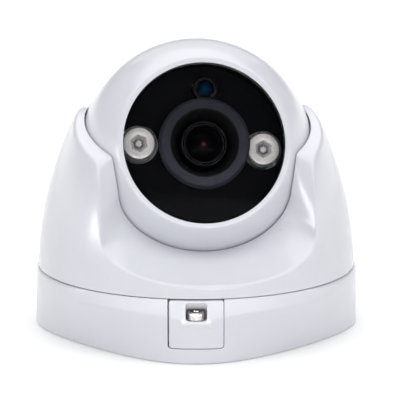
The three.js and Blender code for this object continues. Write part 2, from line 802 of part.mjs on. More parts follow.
function coverGroup() {
  const group = new THREE.Group();
  group.rotation.z = REST_PAN;
  piece(group, 'cover_shell', coverShell(), WHITE_PAINT);
  piece(group, 'turn_plate', turnPlate(), GREY_PLASTIC);
  piece(group, 'ball_seat_ring', ballSeat(), BLACK_PLASTIC);
  coverScrewPlaces().forEach((place, i) => {
    piece(group, `cover_screw_${i + 1}`, coverScrew(place), STEEL);
  });
  return group;
}

function shellPieces(group) {
  piece(group, 'front_shell', frontShell(), WHITE_PAINT);
  piece(group, 'rear_shell', rearShell(), WHITE_PAINT);
  piece(group, 'shell_seal', shellSeal(), RUBBER);
  piece(group, 'window_glass', windowGlass(), CLEAR_GLASS);
  const gasketFront = GLASS_FRONT - GLASS_T - GAP;
  const gasket = ringForward(WINDOW_R + 0.2, GLASS_R, gasketFront - 0.9, gasketFront);
  piece(group, 'window_gasket', gasket, RUBBER);
  shellScrewPlaces().forEach((place, i) => {
    piece(group, `shell_screw_${i + 1}`, shellScrew(place), STEEL);
  });
}

function opticPieces(group) {
  piece(group, 'inner_mask', innerMask(), BLACK_PLASTIC);
  piece(group, 'lens_hood', onLensAxis(lensHood()), CHARCOAL);
  piece(group, 'lens_barrel', onLensAxis(lensBarrel()), BLACK_PLASTIC);
  const frontRing = ringForward(6.6, 7.3, FRONT_ELEMENT.back, LENS_FRONT + 0.1, MEDIUM);
  piece(group, 'lens_front_ring', onLensAxis(frontRing), BLACK_PLASTIC);
  piece(group, 'lens_front_element', onLensAxis(lensFrontElement()), BLUE_GLASS);
  const iris = ringForward(1.3, 4.9, 8, 8.6, SMALL);
  piece(group, 'lens_iris', onLensAxis(iris), BLACK_PLASTIC);
  piece(group, 'lens_rear_element', onLensAxis(rodForward(4.9, -2, 1)), CLEAR_GLASS);
  piece(group, 'lens_holder', onLensAxis(lensHolder()), BLACK_PLASTIC);
  const sensorHolder = ringForward(3.2, LIGHT_SENSOR_R, 12.3, 20.4, MEDIUM);
  const { x, z } = LIGHT_SENSOR_OFFSET;
  piece(group, 'light_sensor_holder', sensorHolder.translate([x, 0, z]), BLACK_PLASTIC);
  piece(group, 'light_sensor_cell', rodForward(2.9, 15, 19.2, x, z), BLUE_GLASS);
  for (const [side, label] of [[-1, 'left'], [1, 'right']]) {
    piece(group, `led_cap_${label}`, ledCap(side), LED_LENS);
    piece(group, `led_collar_${label}`, ledCollar(side), CLEAR_GLASS);
    const chip = boxForward(5, 5, 12.3, 13.3, ...ledPlace(side));
    piece(group, `led_chip_${label}`, chip, PHOSPHOR);
  }
}

function boardPieces(group) {
  piece(group, 'led_board', ledBoard(), BOARD_WHITE);
  piece(group, 'heat_spreader', heatSpreader(), ALUMINIUM);
  piece(group, 'sensor_chip', onLensAxis(boxForward(8, 8, -11.7, -10.4)), CHIP_BLACK);
  piece(group, 'sensor_board', board(SENSOR_BOARD_H), BOARD_GREEN);
  piece(group, 'main_board', board(MAIN_BOARD_H), BOARD_GREEN);
  piece(group, 'cable_connector', boxForward(12, 7, -29, -23.8, 0, -8), BOARD_WHITE);
  boardCorners().forEach(([x, z], i) => {
    const pillar = rodForward(2, SENSOR_BOARD_H + BOARD_T + GAP, 7.9, x, z, 8);
    const spacer = rodForward(2, MAIN_BOARD_H + BOARD_T + GAP, SENSOR_BOARD_H - GAP, x, z, 8);
    piece(group, `front_pillar_${i + 1}`, pillar, BRASS);
    piece(group, `board_spacer_${i + 1}`, spacer, BRASS);
  });
}

function ballGroup() {
  const yaw = new THREE.Group();
  yaw.position.z = BALL_Z;
  yaw.rotation.z = REST_YAW;
  const tilt = new THREE.Group();
  tilt.rotation.x = -REST_TILT;
  const roll = new THREE.Group();
  roll.rotation.y = REST_ROLL;
  yaw.add(tilt);
  tilt.add(roll);
  piece(tilt, 'cable_bush', cableBush(), RUBBER);
  shellPieces(roll);
  opticPieces(roll);
  boardPieces(roll);
  return yaw;
}

const camera = new THREE.Group();
camera.add(baseGroup(), coverGroup(), ballGroup());
export default camera;
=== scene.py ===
"""Dome surveillance camera: fine meshes, materials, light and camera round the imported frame."""
import json
import math

import bmesh
import bpy
import numpy as np
from mathutils import Matrix, Vector


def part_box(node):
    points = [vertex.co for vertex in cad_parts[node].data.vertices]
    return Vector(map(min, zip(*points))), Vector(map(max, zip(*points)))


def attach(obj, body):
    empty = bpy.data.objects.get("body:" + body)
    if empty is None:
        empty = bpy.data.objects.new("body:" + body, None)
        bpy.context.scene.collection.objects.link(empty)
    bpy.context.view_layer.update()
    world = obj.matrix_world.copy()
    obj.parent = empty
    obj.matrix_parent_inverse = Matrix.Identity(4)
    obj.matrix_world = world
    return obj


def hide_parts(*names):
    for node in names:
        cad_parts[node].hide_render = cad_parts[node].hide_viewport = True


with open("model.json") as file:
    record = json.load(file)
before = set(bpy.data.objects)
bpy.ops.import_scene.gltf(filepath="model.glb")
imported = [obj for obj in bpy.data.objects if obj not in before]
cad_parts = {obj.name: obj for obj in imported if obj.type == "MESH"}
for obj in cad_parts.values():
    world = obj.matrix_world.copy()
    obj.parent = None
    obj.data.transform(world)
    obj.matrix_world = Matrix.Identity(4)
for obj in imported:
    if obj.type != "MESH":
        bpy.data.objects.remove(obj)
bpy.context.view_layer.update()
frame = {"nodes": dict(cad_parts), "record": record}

MM = 0.001
TAU = 2 * math.pi

# ---------- places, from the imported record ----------

joints = {j["name"]: j for j in frame["record"]["behaviour"]["joints"]}
slot_of = {s["node"]: s["material_slot"] for s in frame["record"]["subparts"]}


def middle(node):
    low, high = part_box(node)
    return (Vector(low) + Vector(high)) / 2


def forward_axis():
    return Vector(joints["roll"]["axis"]).normalized()


def ball_frame():
    """Ball's own frame: forwards is -Y along the optical axis, X runs from the left to the right LED."""
    forward = forward_axis()
    across = middle("led_cap_right") - middle("led_cap_left")
    across = (across - forward * across.dot(forward)).normalized()
    up = across.cross(-forward)
    turn = Matrix((across, -forward, up)).transposed().to_4x4()
    return Matrix.Translation(Vector(joints["roll"]["pos_m"])) @ turn


def cover_frame():
    """Cover's own frame: turned so that its rear screw lies on +Y."""
    rear = middle("cover_screw_2")
    return Matrix.Rotation(math.atan2(-rear.x, rear.y), 4, "Z")


BALL = ball_frame()
COVER = cover_frame()
WORLD = Matrix.Identity(4)

# ---------- sizes, in millimetres ----------

BASE_R = 61.0
BASE_FLAT = 56.5
FLAT_BLEND = 15.0
BASE_TOP_R = 60.5
BASE_H = 22.5
FLARE_H = 19.5
LIP_R = 59.4
LIP_H = 1.2
CHAMFER_SLOPE = 0.15
CHAMFER_HALF_ANGLE = math.radians(52)
CHAMFER_FADE = math.radians(12)
CHAMFER_SOFT = 0.12
FLOOR_T = 3.0
LEDGE_Z = 12.0
CAVITY_R = 50.3
LEDGE_R = 46.0
FOOT_SCREW_R = 36.0
FOOT_HOLE_R = 2.3
CABLE_HOLE_R = 9.5
CABLE_R = 4.0

BLOCK_W = 19.0
BLOCK_BOTTOM = 5.5
BLOCK_TOP = BASE_H - 0.1
BLOCK_BACK = 53.0
BLOCK_CORNER = 0.9
BLOCK_EDGE = 0.35
BLOCK_SETTLE = Vector((0.14, 0, -0.12))
BOSS_HALF_W = 5.6
BOSS_H = 0.22
GAP = 0.3
POCKET_W = 7.9
POCKET_BOTTOM = 15.0
POCKET_H = 6.5
POCKET_CORNER = 1.1
POCKET_LIP = 0.3
POCKET_FRONT = 59.6
POCKET_BACK = 54.4
POCKET_DROP = 3.2
LOCK_SCREW_Y = -57.9
SHANK_R = 1.5

COVER_BOTTOM = BASE_H + GAP
COVER_R = 59.8
COVER_ARC_R = 136.0
COVER_ARC_Z = 17.4
COVER_WALL = 2.5
CREASE = {"half_width": 38.4, "centre_z": 42.5, "depth": 15.3, "roundness": 2.4, "lean": 0.0}
MOUTH = {"half_width": 31.0, "centre_z": 55.0, "depth": 21.25, "roundness": 2.0, "lean": 0.15}
TOP_SLOPE = 0.38
TOP_REF_Y = -10.0
TOP_REF_Z = 75.6
REAR_RIM_Z = 80.7
LIP_DEPTH = 2.7
LIP_ROUND = 0.5
CREASE_ROUND = 1.3

BALL_Z = joints["roll"]["pos_m"][2] / MM
BALL_R = 43.9
SLIT = 0.5
SHELL_T = 2.7
SEAM_H = -6.0
BEZEL_R = 31.6
FACE_H = 31.2
WINDOW_R = 29.1
GLASS_R = 30.6
GLASS_T = 2.0
GLASS_FRONT = 30.0
SHELL_SCREW_R = 37.5
SHELL_SCREW_WELL_R = 3.1
SHELL_SCREW_SEAT = -13.3
BUSH_R = 13.2
BUSH_FLANGE_R = BUSH_R + 3
BUSH_FLANGE_FRONT = -35.6
BUSH_FLANGE_BACK = -37.1

MASK_FRONT = 16.8
MASK_T = 1.5
MASK_HOLE_R = 13.0
LENS_AXIS = np.array((0.4, 0, 0.5))
HOOD_FRONT = 27.7
HOOD_R = 16.5
HOOD_MOUTH_R = 12.4
HOOD_NECK_R = 12.6
HOOD_BACK = 13.2
HOOD_CHAMFER = 1.1
LENS_HEAD_R = 8.5
LENS_FRONT = 25.3
LENS_CUP_R = 7.6
LENS_BORE_R = 5.2
LENS_BODY_R = 6.0
LENS_GLASS_R = 6.3
LED_OFFSET = np.array((22.8, 0, 0.35))
LED_CAP_R = 5.75
LED_CAP_FRONT = 19.8
LED_WELL_R = 7.2
LIGHT_SENSOR_OFFSET = np.array((0.6, 0, 21.6))
LIGHT_SENSOR_R = 4.5
LIGHT_CELL_R = 2.9

# ---------- camera and light ----------

CAMERA_FOCAL = 142.9
CAMERA_PITCH = math.radians(10.80)
CAMERA_DISTANCE = 0.6
CAMERA_TARGET = Vector((1.405, 0, 46.152)) * MM
LIGHT_TARGET = (0, 0, 0.05)
CARD_H = 0.26
CARD_POWER = 7.0
WORLD_BRIGHTEST = 2.4

# ---------- mesh helpers ----------


def make_mesh(name, verts, faces, place, merge=True):
    """A mesh from points in millimetres, put where the matrix says, its normals facing outwards."""
    mesh = bpy.data.meshes.new(name)
    mesh.from_pydata([tuple(v) for v in np.asarray(verts) * MM], [], faces)
    mesh.transform(place)
    work = bmesh.new()
    work.from_mesh(mesh)
    if merge:
        bmesh.ops.remove_doubles(work, verts=work.verts, dist=1e-7)
    bmesh.ops.recalc_face_normals(work, faces=work.faces)
    work.to_mesh(mesh)
    work.free()
    return mesh


def put_in_scene(name, data):
    obj = bpy.data.objects.new(name, data)
    bpy.context.scene.collection.objects.link(obj)
    return obj


def add_piece(node, shape, place, body, slot=None, material=None, sharp=40):
    """A new piece of points and faces that takes a CAD node's place and rides on a body."""
    mesh = make_mesh(f"{node}_fine", *shape, place)
    mesh.shade_smooth()
    mesh.set_sharp_from_angle(angle=math.radians(sharp))
    slot = slot or slot_of[node]
    mesh.materials.append(material or materials[slot])
    obj = put_in_scene(f"{node}_fine", mesh)
    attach(obj, body)
    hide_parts(node)
    return obj


def skin(rows, ringed=False, caps=True):
    """Vertices and faces of a surface through rows of points, each row a closed loop."""
    count, columns = len(rows), len(rows[0])
    verts = [p for row in rows for p in row]
    faces = []
    for j in range(count if ringed else count - 1):
        here, above = j * columns, ((j + 1) % count) * columns
        for i in range(columns):
            k = (i + 1) % columns
            faces.append((here + i, here + k, above + k, above + i))
    if caps and not ringed:
        faces.append(tuple(range(columns))[::-1])
        faces.append(tuple((count - 1) * columns + i for i in range(columns)))
    return verts, faces


def rounded(profile, closed=True, steps=5):
    """Rounds the corners of a profile of (radius, height, rounding) points."""
    made = []
    count = len(profile)
    for i, (r, h, rounding) in enumerate(profile):
        here = np.array((r, h))
        if rounding <= 0 or (not closed and i in (0, count - 1)):
            made.append(here)
            continue
        before = np.array(profile[i - 1][:2]) - here
        after = np.array(profile[(i + 1) % count][:2]) - here
        room = 0.48 * min(np.linalg.norm(before), np.linalg.norm(after))
        reach = min(rounding, room)
        before /= np.linalg.norm(before)
        after /= np.linalg.norm(after)
        start, end = here + before * reach, here + after * reach
        made.append(here + before * reach * 1.04)
        for k in range(steps + 1):
            s = k / steps
            made.append((1 - s) ** 2 * start + 2 * s * (1 - s) * here + s**2 * end)
        made.append(here + after * reach * 1.04)
    return made


def lathe(profile, segments=128, closed=True, upright=False, steps=5):
    """A profile turned about the optical axis, or about the upright axis. Heights run forwards or up."""
    points = rounded(profile, closed, steps)
    rows = []
    for r, h in points:
        row = []
        for i in range(segments):
            a = TAU * i / segments
            x, side = r * math.sin(a), r * math.cos(a)
            row.append((x, side, h) if upright else (x, -h, side))
        rows.append(row)
    return skin(rows, ringed=closed)


def ball_arc(radius, low, high, steps):
    """Profile points on a sphere about the ball's centre, from height low to height high."""
    start, end = math.asin(low / radius), math.asin(high / radius)
    angles = np.linspace(start, end, steps + 1)
    return [(radius * math.cos(a), radius * math.sin(a), 0) for a in angles]


def off_axis(shape, offset):
    """A shape of points and faces, moved by an offset."""
    verts, faces = shape
    return np.asarray(verts) + offset, faces


def joined(shapes):
    """Several shapes as one list of points and faces."""
    all_verts, all_faces, start = [], [], 0
    for verts, faces in shapes:
        all_verts.append(np.asarray(verts))
        all_faces += [tuple(i + start for i in face) for face in faces]
        start += len(verts)
    return np.concatenate(all_verts), all_faces


def hexagon_share(angle):
    """How far out a hexagon's side is at an angle, as a share of the reach of its corners."""
    return math.cos(math.pi / 6) / math.cos(angle % (math.pi / 3) - math.pi / 6)


def smooth_min(a, b, soft):
    """The smaller of two values, with a soft change from one to the other."""
    h = np.maximum(soft - np.abs(a - b), 0) / soft
    return np.minimum(a, b) - h * h * soft / 4


def step01(t):
    """A soft step from 0 to 1."""
    c = np.clip(t, 0, 1)
    return c * c * (3 - 2 * c)


def lerp(a, b, share):
    return a + (b - a) * share


def cut_with(obj, tools):
    """Cuts tool objects out of a piece, and removes the tools."""
    for tool in tools:
        cutter = obj.modifiers.new("cut", "BOOLEAN")
        cutter.object = tool
        cutter.operation = "DIFFERENCE"
        cutter.solver = "EXACT"
    bpy.context.view_layer.update()
    shape = bpy.data.meshes.new_from_object(obj.evaluated_get(bpy.context.evaluated_depsgraph_get()))
    obj.modifiers.clear()
    old = obj.data
    obj.data = shape
    shape.name = old.name
    bpy.data.meshes.remove(old)
    for tool in tools:
        bpy.data.objects.remove(tool)
    shape.shade_smooth()
    shape.set_sharp_from_angle(angle=math.radians(35))


def tool(verts, faces, place=WORLD):
    """A bare object that only cuts another."""
    return put_in_scene("tool", make_mesh("tool", verts, faces, place, merge=False))


def rod_tool(radius, low, high, x=0.0, side=0.0, upright=False, place=WORLD, segments=48):
    """A round cutter, beside the axis by (x, side)."""
    verts, faces = lathe([(radius, low, 0), (radius, high, 0)], segments, False, upright)
    shift = (x, side, 0) if upright else (x, 0, side)
    return tool(np.asarray(verts) + shift, faces, place)


def rounded_outline(width, low, high, corner, count=96):
    """Points (x, z) of an upright rounded rectangle, as many on each side as its length asks for."""
    half = width / 2
    centres = [(half - corner, high - corner), (corner - half, high - corner),
               (corner - half, low + corner), (half - corner, low + corner)]
    path = []
    for k, (cx, cz) in enumerate(centres):
        for a in np.linspace(k * 90, k * 90 + 90, 13):
            turn = math.radians(a)
            path.append((cx + corner * math.cos(turn), cz + corner * math.sin(turn)))
    path.append(path[0])
    path = np.array(path)
    length = np.concatenate([[0], np.cumsum(np.linalg.norm(np.diff(path, axis=0), axis=1))])
    places = np.linspace(0, length[-1], count, endpoint=False)
    return np.stack([np.interp(places, length, path[:, i]) for i in (0, 1)], axis=1)


# ---------- materials ----------


def fill_ramp(node, stops):
    elements = node.color_ramp.elements
    while len(elements) < len(stops):
        elements.new(0.5)
    for element, (position, colour) in zip(elements, stops):
        element.position = position
        element.color = (*colour, 1)


class Nodes:
    """Short calls to build a material's node tree."""

    def __init__(self, name):
        self.material = bpy.data.materials.new(name)
        self.material.use_nodes = True
        self.tree = self.material.node_tree
        self.shader = self.tree.nodes["Principled BSDF"]
        self.place = self.add("ShaderNodeTexCoord").outputs["Object"]

    def add(self, kind, **settings):
        node = self.tree.nodes.new(kind)
        for key, value in settings.items():
            if key in node.inputs:
                node.inputs[key].default_value = value
            else:
                setattr(node, key, value)
        return node

    def link(self, output, socket):
        self.tree.links.new(output, socket)

    def noise(self, size_mm, detail=4.0, stretch=(1, 1, 1), roughness=0.55):
        """Noise whose patches are about size_mm across."""
        spread = self.add("ShaderNodeMapping")
        spread.inputs["Scale"].default_value = stretch
        self.link(self.place, spread.inputs["Vector"])
        node = self.add("ShaderNodeTexNoise", Detail=detail, Roughness=roughness)
        node.inputs["Scale"].default_value = 1 / (size_mm * MM)
        self.link(spread.outputs["Vector"], node.inputs["Vector"])
        return node.outputs["Fac"]

    def ramp(self, value, stops):
        """A colour ramp: stops are (position, (r, g, b))."""
        node = self.add("ShaderNodeValToRGB")
        fill_ramp(node, stops)
        self.link(value, node.inputs["Fac"])
        return node.outputs["Color"]

    def remap(self, value, low, high, to_low, to_high):
        node = self.add("ShaderNodeMapRange")
        limits = {"From Min": low, "From Max": high, "To Min": to_low, "To Max": to_high}
        for socket, number in limits.items():
            node.inputs[socket].default_value = number
        self.link(value, node.inputs["Value"])
        return node.outputs["Result"]

    def mix(self, share, a, b, blend="MIX"):
        node = self.add("ShaderNodeMix", data_type="RGBA", blend_type=blend)
        for socket, value in ((node.inputs[0], share), (node.inputs[6], a), (node.inputs[7], b)):
            if isinstance(value, bpy.types.NodeSocket):
                self.link(value, socket)
            elif isinstance(value, (int, float)):
                socket.default_value = value
            else:
                socket.default_value = (*value, 1)
        return node.outputs[2]

    def bump(self, value, height_mm, strength=1.0, under=None):
        node = self.add("ShaderNodeBump", Strength=strength, Distance=height_mm * MM)
        self.link(value, node.inputs["Height"])
        if under is not None:
            self.link(under, node.inputs["Normal"])
        return node.outputs["Normal"]

    def away_from(self, centre):
        away = self.add("ShaderNodeVectorMath", operation="SUBTRACT")
        self.link(self.place, away.inputs[0])
        away.inputs[1].default_value = centre
        return away.outputs[0]

    def from_axis(self, centre, axis):
        """Distance of a point from a line, in metres."""
        away = self.away_from(centre)
        crossed = self.add("ShaderNodeVectorMath", operation="CROSS_PRODUCT")
        self.link(away, crossed.inputs[0])
        crossed.inputs[1].default_value = axis
        length = self.add("ShaderNodeVectorMath", operation="LENGTH")
        self.link(crossed.outputs[0], length.inputs[0])
        return length.outputs["Value"]

    def six_sided(self, centre, directions):
        """Size of the hexagon, with its sides across these directions, that a point lies on."""
        away = self.away_from(centre)
        widest = None
        for direction in directions:
            along = self.add("ShaderNodeVectorMath", operation="DOT_PRODUCT")
            self.link(away, along.inputs[0])
            along.inputs[1].default_value = direction
            size = self.add("ShaderNodeMath", operation="ABSOLUTE")
            self.link(along.outputs["Value"], size.inputs[0])
            if widest is None:
                widest = size.outputs[0]
                continue
            larger = self.add("ShaderNodeMath", operation="MAXIMUM")
            self.link(widest, larger.inputs[0])
            self.link(size.outputs[0], larger.inputs[1])
            widest = larger.outputs[0]
        return widest

    def rings(self, distance, stops, wobble):
        """Colours by distance, made uneven by a wobble. Stops are (distance in mm, colour)."""
        reach = stops[-1][0]
        share = self.remap(distance, 0, reach * MM, 0, 1)
        bent = self.add("ShaderNodeMath", operation="ADD")
        self.link(share, bent.inputs[0])
        self.link(wobble, bent.inputs[1])
        return self.ramp(bent.outputs[0], [(r / reach, colour) for r, colour in stops])

    def edges(self):
        """About 0.5 on flat parts and more on outer edges."""
        return self.add("ShaderNodeNewGeometry").outputs["Pointiness"]

    def finish(self, colour, roughness, normal=None, metallic=0.0, **constants):
        """Connects the shader. A tuple or a number is a constant; a socket is a link."""
        links = (("Base Color", colour), ("Roughness", roughness), ("Normal", normal))
        for socket, value in links:
            if value is None:
                continue
            if isinstance(value, bpy.types.NodeSocket):
                self.link(value, self.shader.inputs[socket])
            elif isinstance(value, (int, float)):
                self.shader.inputs[socket].default_value = value
            else:
                self.shader.inputs[socket].default_value = (*value, 1)
        self.shader.inputs["Metallic"].default_value = metallic
        for key, value in constants.items():
            self.shader.inputs[key.replace("_", " ")].default_value = value
        return self.material


def shade(colour, factor):
    return tuple(min(c * factor, 1) for c in colour)


def white_paint(name="white_paint", colour=(0.617, 0.624, 0.672)):
    """Satin powder coat: faint mottling, orange peel, polished edges and a few specks of dust."""
    n = Nodes(name)
    mottled = n.ramp(n.noise(9, 3), [(0.3, shade(colour, 0.985)), (0.7, shade(colour, 1.008))])
    worn = n.remap(n.edges(), 0.52, 0.62, 0, 0.35)
    brightened = n.mix(worn, mottled, shade(colour, 1.04))
    specks = n.remap(n.noise(1.3, 1.0), 0.79, 0.80, 0, 0.5)
    dusty = n.mix(specks, brightened, (0.42, 0.40, 0.38))
    rough = n.remap(n.noise(3.5, 2), 0.3, 0.7, 0.165, 0.185)
    peel = n.bump(n.noise(2.2, 1), 0.0015, 0.3)
    fine = n.bump(n.noise(0.6, 1), 0.0003, 0.3, peel)
    return n.finish(dusty, rough, fine, Specular_IOR_Level=0.5)


def plastic(name, colour, rough=0.5, grain_mm=0.35, grain_height=0.01, variation=0.12, gloss=0.5):
    """Moulded plastic: fine spark-erosion grain, slight colour variation and rubbed edges."""
    n = Nodes(name)
    tones = [(0.3, shade(colour, 1 - variation)), (0.7, shade(colour, 1 + variation))]
    toned = n.ramp(n.noise(5, 4), tones)
    rubbed = n.mix(n.remap(n.edges(), 0.53, 0.66, 0, 0.3), toned, shade(colour, 1.9))
    roughness = n.remap(n.noise(2.2, 4), 0.3, 0.7, rough - 0.06, rough + 0.07)
    grain = n.bump(n.noise(grain_mm, 3), grain_height, 0.6)
    return n.finish(rubbed, roughness, grain, Specular_IOR_Level=gloss)


def hood_foam(centre, axis, name="charcoal_plastic"):
    """Fine-grained charcoal foam rubber with painted shade: black in the mouth, dark on the chamfer and
    towards the top.
    """
    n = Nodes(name)
    away = n.from_axis(centre, axis)
    toned = n.ramp(n.noise(4, 4), [(0.3, (0.028, 0.030, 0.041)), (0.7, (0.037, 0.039, 0.051))])
    grained = n.mix(n.remap(n.noise(0.35, 3), 0.55, 0.75, 0, 0.5), toned, (0.07, 0.074, 0.09))
    # painted shade: near black inside the mouth, where the hood's recess lies in shade
    inside = n.remap(away, (HOOD_MOUTH_R - 0.05) * MM, (HOOD_MOUTH_R + 0.15) * MM, 0, 1)
    split = n.add("ShaderNodeSeparateXYZ")
    n.link(n.place, split.inputs[0])
    # painted shadow: darker towards the top, where the bezel keeps the light off
    height = n.remap(split.outputs["Z"], centre[2] - HOOD_R * MM, centre[2] + HOOD_R * MM, 0, 0.72)
    top_shadow_painted = n.mix(height, grained, (0.006, 0.0065, 0.010))
    mouth_shade_painted = n.mix(inside, (0.0012, 0.0012, 0.0018), top_shadow_painted)
    # painted shade: darker on the outer chamfer
    rim = n.remap(away, (HOOD_R - HOOD_CHAMFER) * MM, (HOOD_R - HOOD_CHAMFER + 0.3) * MM, 0, 0.5)
    chamfer_shade_painted = n.mix(rim, mouth_shade_painted, (0.012, 0.013, 0.019))
    roughness = n.remap(n.noise(1.5, 4), 0.3, 0.7, 0.66, 0.85)
    return n.finish(chamfer_shade_painted, roughness, n.bump(n.noise(0.3, 3), 0.02, 0.5), Specular_IOR_Level=0.08)


def rubber(name="rubber"):
    n = Nodes(name)
    toned = n.ramp(n.noise(3, 5), [(0.3, (0.018, 0.018, 0.019)), (0.7, (0.034, 0.034, 0.035))])
    roughness = n.remap(n.noise(1.2, 5), 0.3, 0.7, 0.72, 0.92)
    return n.finish(toned, roughness, n.bump(n.noise(0.5, 4), 0.02, 0.5))


def metal(name, colour, rough=0.3, brushed=(1, 1, 1), line_mm=0.25, socket=None):
    """Machined metal: fine tool lines, smudges in the gloss, brighter edges and, if given, painted shade
    in a socket of (middle, axis, radius)."""
    n = Nodes(name)
    toned = n.ramp(n.noise(1.6, 4), [(0.3, shade(colour, 0.86)), (0.7, shade(colour, 1.05))])
    bright = n.mix(n.remap(n.edges(), 0.52, 0.62, 0, 0.5), toned, shade(colour, 1.35))
    if socket:
        centre, axis, radius = socket
        # painted shade: darker inside the socket's recess
        away = n.remap(n.from_axis(centre, axis), radius * 0.8, radius, 0.9, 0)
        bright = n.mix(away, bright, (0.035, 0.02, 0.014))
    roughness = n.remap(n.noise(1.1, 5), 0.3, 0.7, rough - 0.08, rough + 0.1)
    lines = n.bump(n.noise(line_mm, 2, brushed), 0.004, 0.6)
    return n.finish(bright, roughness, lines, metallic=1.0)


def clear_glass(name="clear_glass", tint=(0.93, 0.95, 1.0), cover=0.0015):
    """The window: seen through, with a faint mirror of the studio and a trace of smears."""
    n = Nodes(name)
    haze = n.remap(n.noise(14, 5), 0.35, 0.75, 0.015, 0.05)
    return n.finish(tint, haze, None, metallic=1.0, Alpha=cover)


def clear_plastic(name="clear_plastic"):
    n = Nodes(name)
    toned = n.ramp(n.noise(0.8, 3), [(0.3, (0.12, 0.13, 0.15)), (0.7, (0.26, 0.28, 0.32))])
    roughness = n.remap(n.noise(0.9, 3), 0.3, 0.7, 0.12, 0.26)
    grain = n.bump(n.noise(0.5, 2), 0.01, 0.4)
    return n.finish(toned, roughness, grain, Alpha=0.34, Specular_IOR_Level=0.3)


def coated_glass(name, centre, axis, stops, rough=0.04):
    """Dark coated glass, coloured by rings round its axis. Stops are (radius in mm, colour)."""
    n = Nodes(name)
    wobble = n.remap(n.noise(0.7, 3), 0.2, 0.8, -0.035, 0.035)
    rings = n.rings(n.from_axis(centre, axis), stops, wobble)
    roughness = n.remap(n.noise(2, 4), 0.3, 0.7, rough, rough + 0.05)
    return n.finish(rings, roughness, None, Specular_IOR_Level=0.008)


def circuit_board(name, mask, track):
    """Solder mask over copper tracks and round pads."""
    n = Nodes(name)
    cells = n.add("ShaderNodeTexVoronoi", Scale=1 / (2.4 * MM), feature="F1", distance="MANHATTAN")
    n.link(n.place, cells.inputs["Vector"])
    lines = n.remap(cells.outputs["Distance"], 0.42, 0.46, 0, 0.75)
    traced = n.mix(lines, mask, track)
    dots = n.add("ShaderNodeTexVoronoi", Scale=1 / (3.1 * MM), feature="F1")
    n.link(n.place, dots.inputs["Vector"])
    pads = n.remap(dots.outputs["Distance"], 0.17, 0.15, 0, 1)
    padded = n.mix(pads, traced, (0.62, 0.60, 0.55))
    roughness = n.remap(n.noise(2, 3), 0.3, 0.7, 0.28, 0.42)
    return n.finish(padded, roughness, n.bump(lines, 0.03, 0.4))


def led_lens_material(name, side):
    """Moulded optic over the emitter: milky warm grey rim, streaked grey bowl with a six-sided edge, pale
    middle;
    painted shade in the dark well and dark outline, and a painted highlight in the bright ring at the bowl's
    edge."""
    n = Nodes(name)
    # painted shade at 1.05 to 1.5 mm and at 2.62 mm, painted highlight at 2.8 to 3.1 mm
    stops = [(0, (0.44, 0.43, 0.43)), (0.85, (0.50, 0.48, 0.48)), (1.05, (0.12, 0.115, 0.12)),
             (1.5, (0.10, 0.097, 0.10)), (1.75, (0.24, 0.23, 0.235)), (2.4, (0.44, 0.425, 0.43)),
             (2.62, (0.20, 0.19, 0.20)), (2.8, (0.52, 0.50, 0.50)), (3.1, (0.66, 0.63, 0.63)),
             (4.4, (0.60, 0.57, 0.565)), (LED_CAP_R, (0.54, 0.505, 0.50))]
    centre = axis_point(LED_OFFSET * (side, 1, 1))
    directions = [BALL.to_3x3() @ Vector(d) for d in hexagon_normals(led_turn(side))]
    wobble = n.remap(n.noise(0.9, 4), 0.25, 0.75, -0.03, 0.03)
    toned = n.rings(n.six_sided(centre, directions), stops, wobble)
    streaks = n.remap(n.noise(0.45, 3), 0.42, 0.62, 0, 0.35)
    streaked = n.mix(streaks, toned, (0.85, 0.83, 0.83))
    roughness = n.remap(n.noise(0.8, 3), 0.3, 0.7, 0.12, 0.3)
    return n.finish(streaked, roughness, n.bump(n.noise(0.6, 3), 0.02, 0.5))


def led_turn(side):
    """How far an LED optic's hexagon is turned in its seat."""
    return math.radians(12 if side < 0 else 0)


def hexagon_normals(turn):
    """Directions across the three pairs of sides of a hexagon, in the ball's frame."""
    angles = [math.radians(30 + 60 * i) - turn for i in range(3)]
    return [(math.sin(a), 0, math.cos(a)) for a in angles]


def axis_point(offset=(0, 0, 0)):
    """World place of a point of the line parallel to the optical axis at an offset in millimetres."""
    return BALL @ (Vector(offset) * MM)


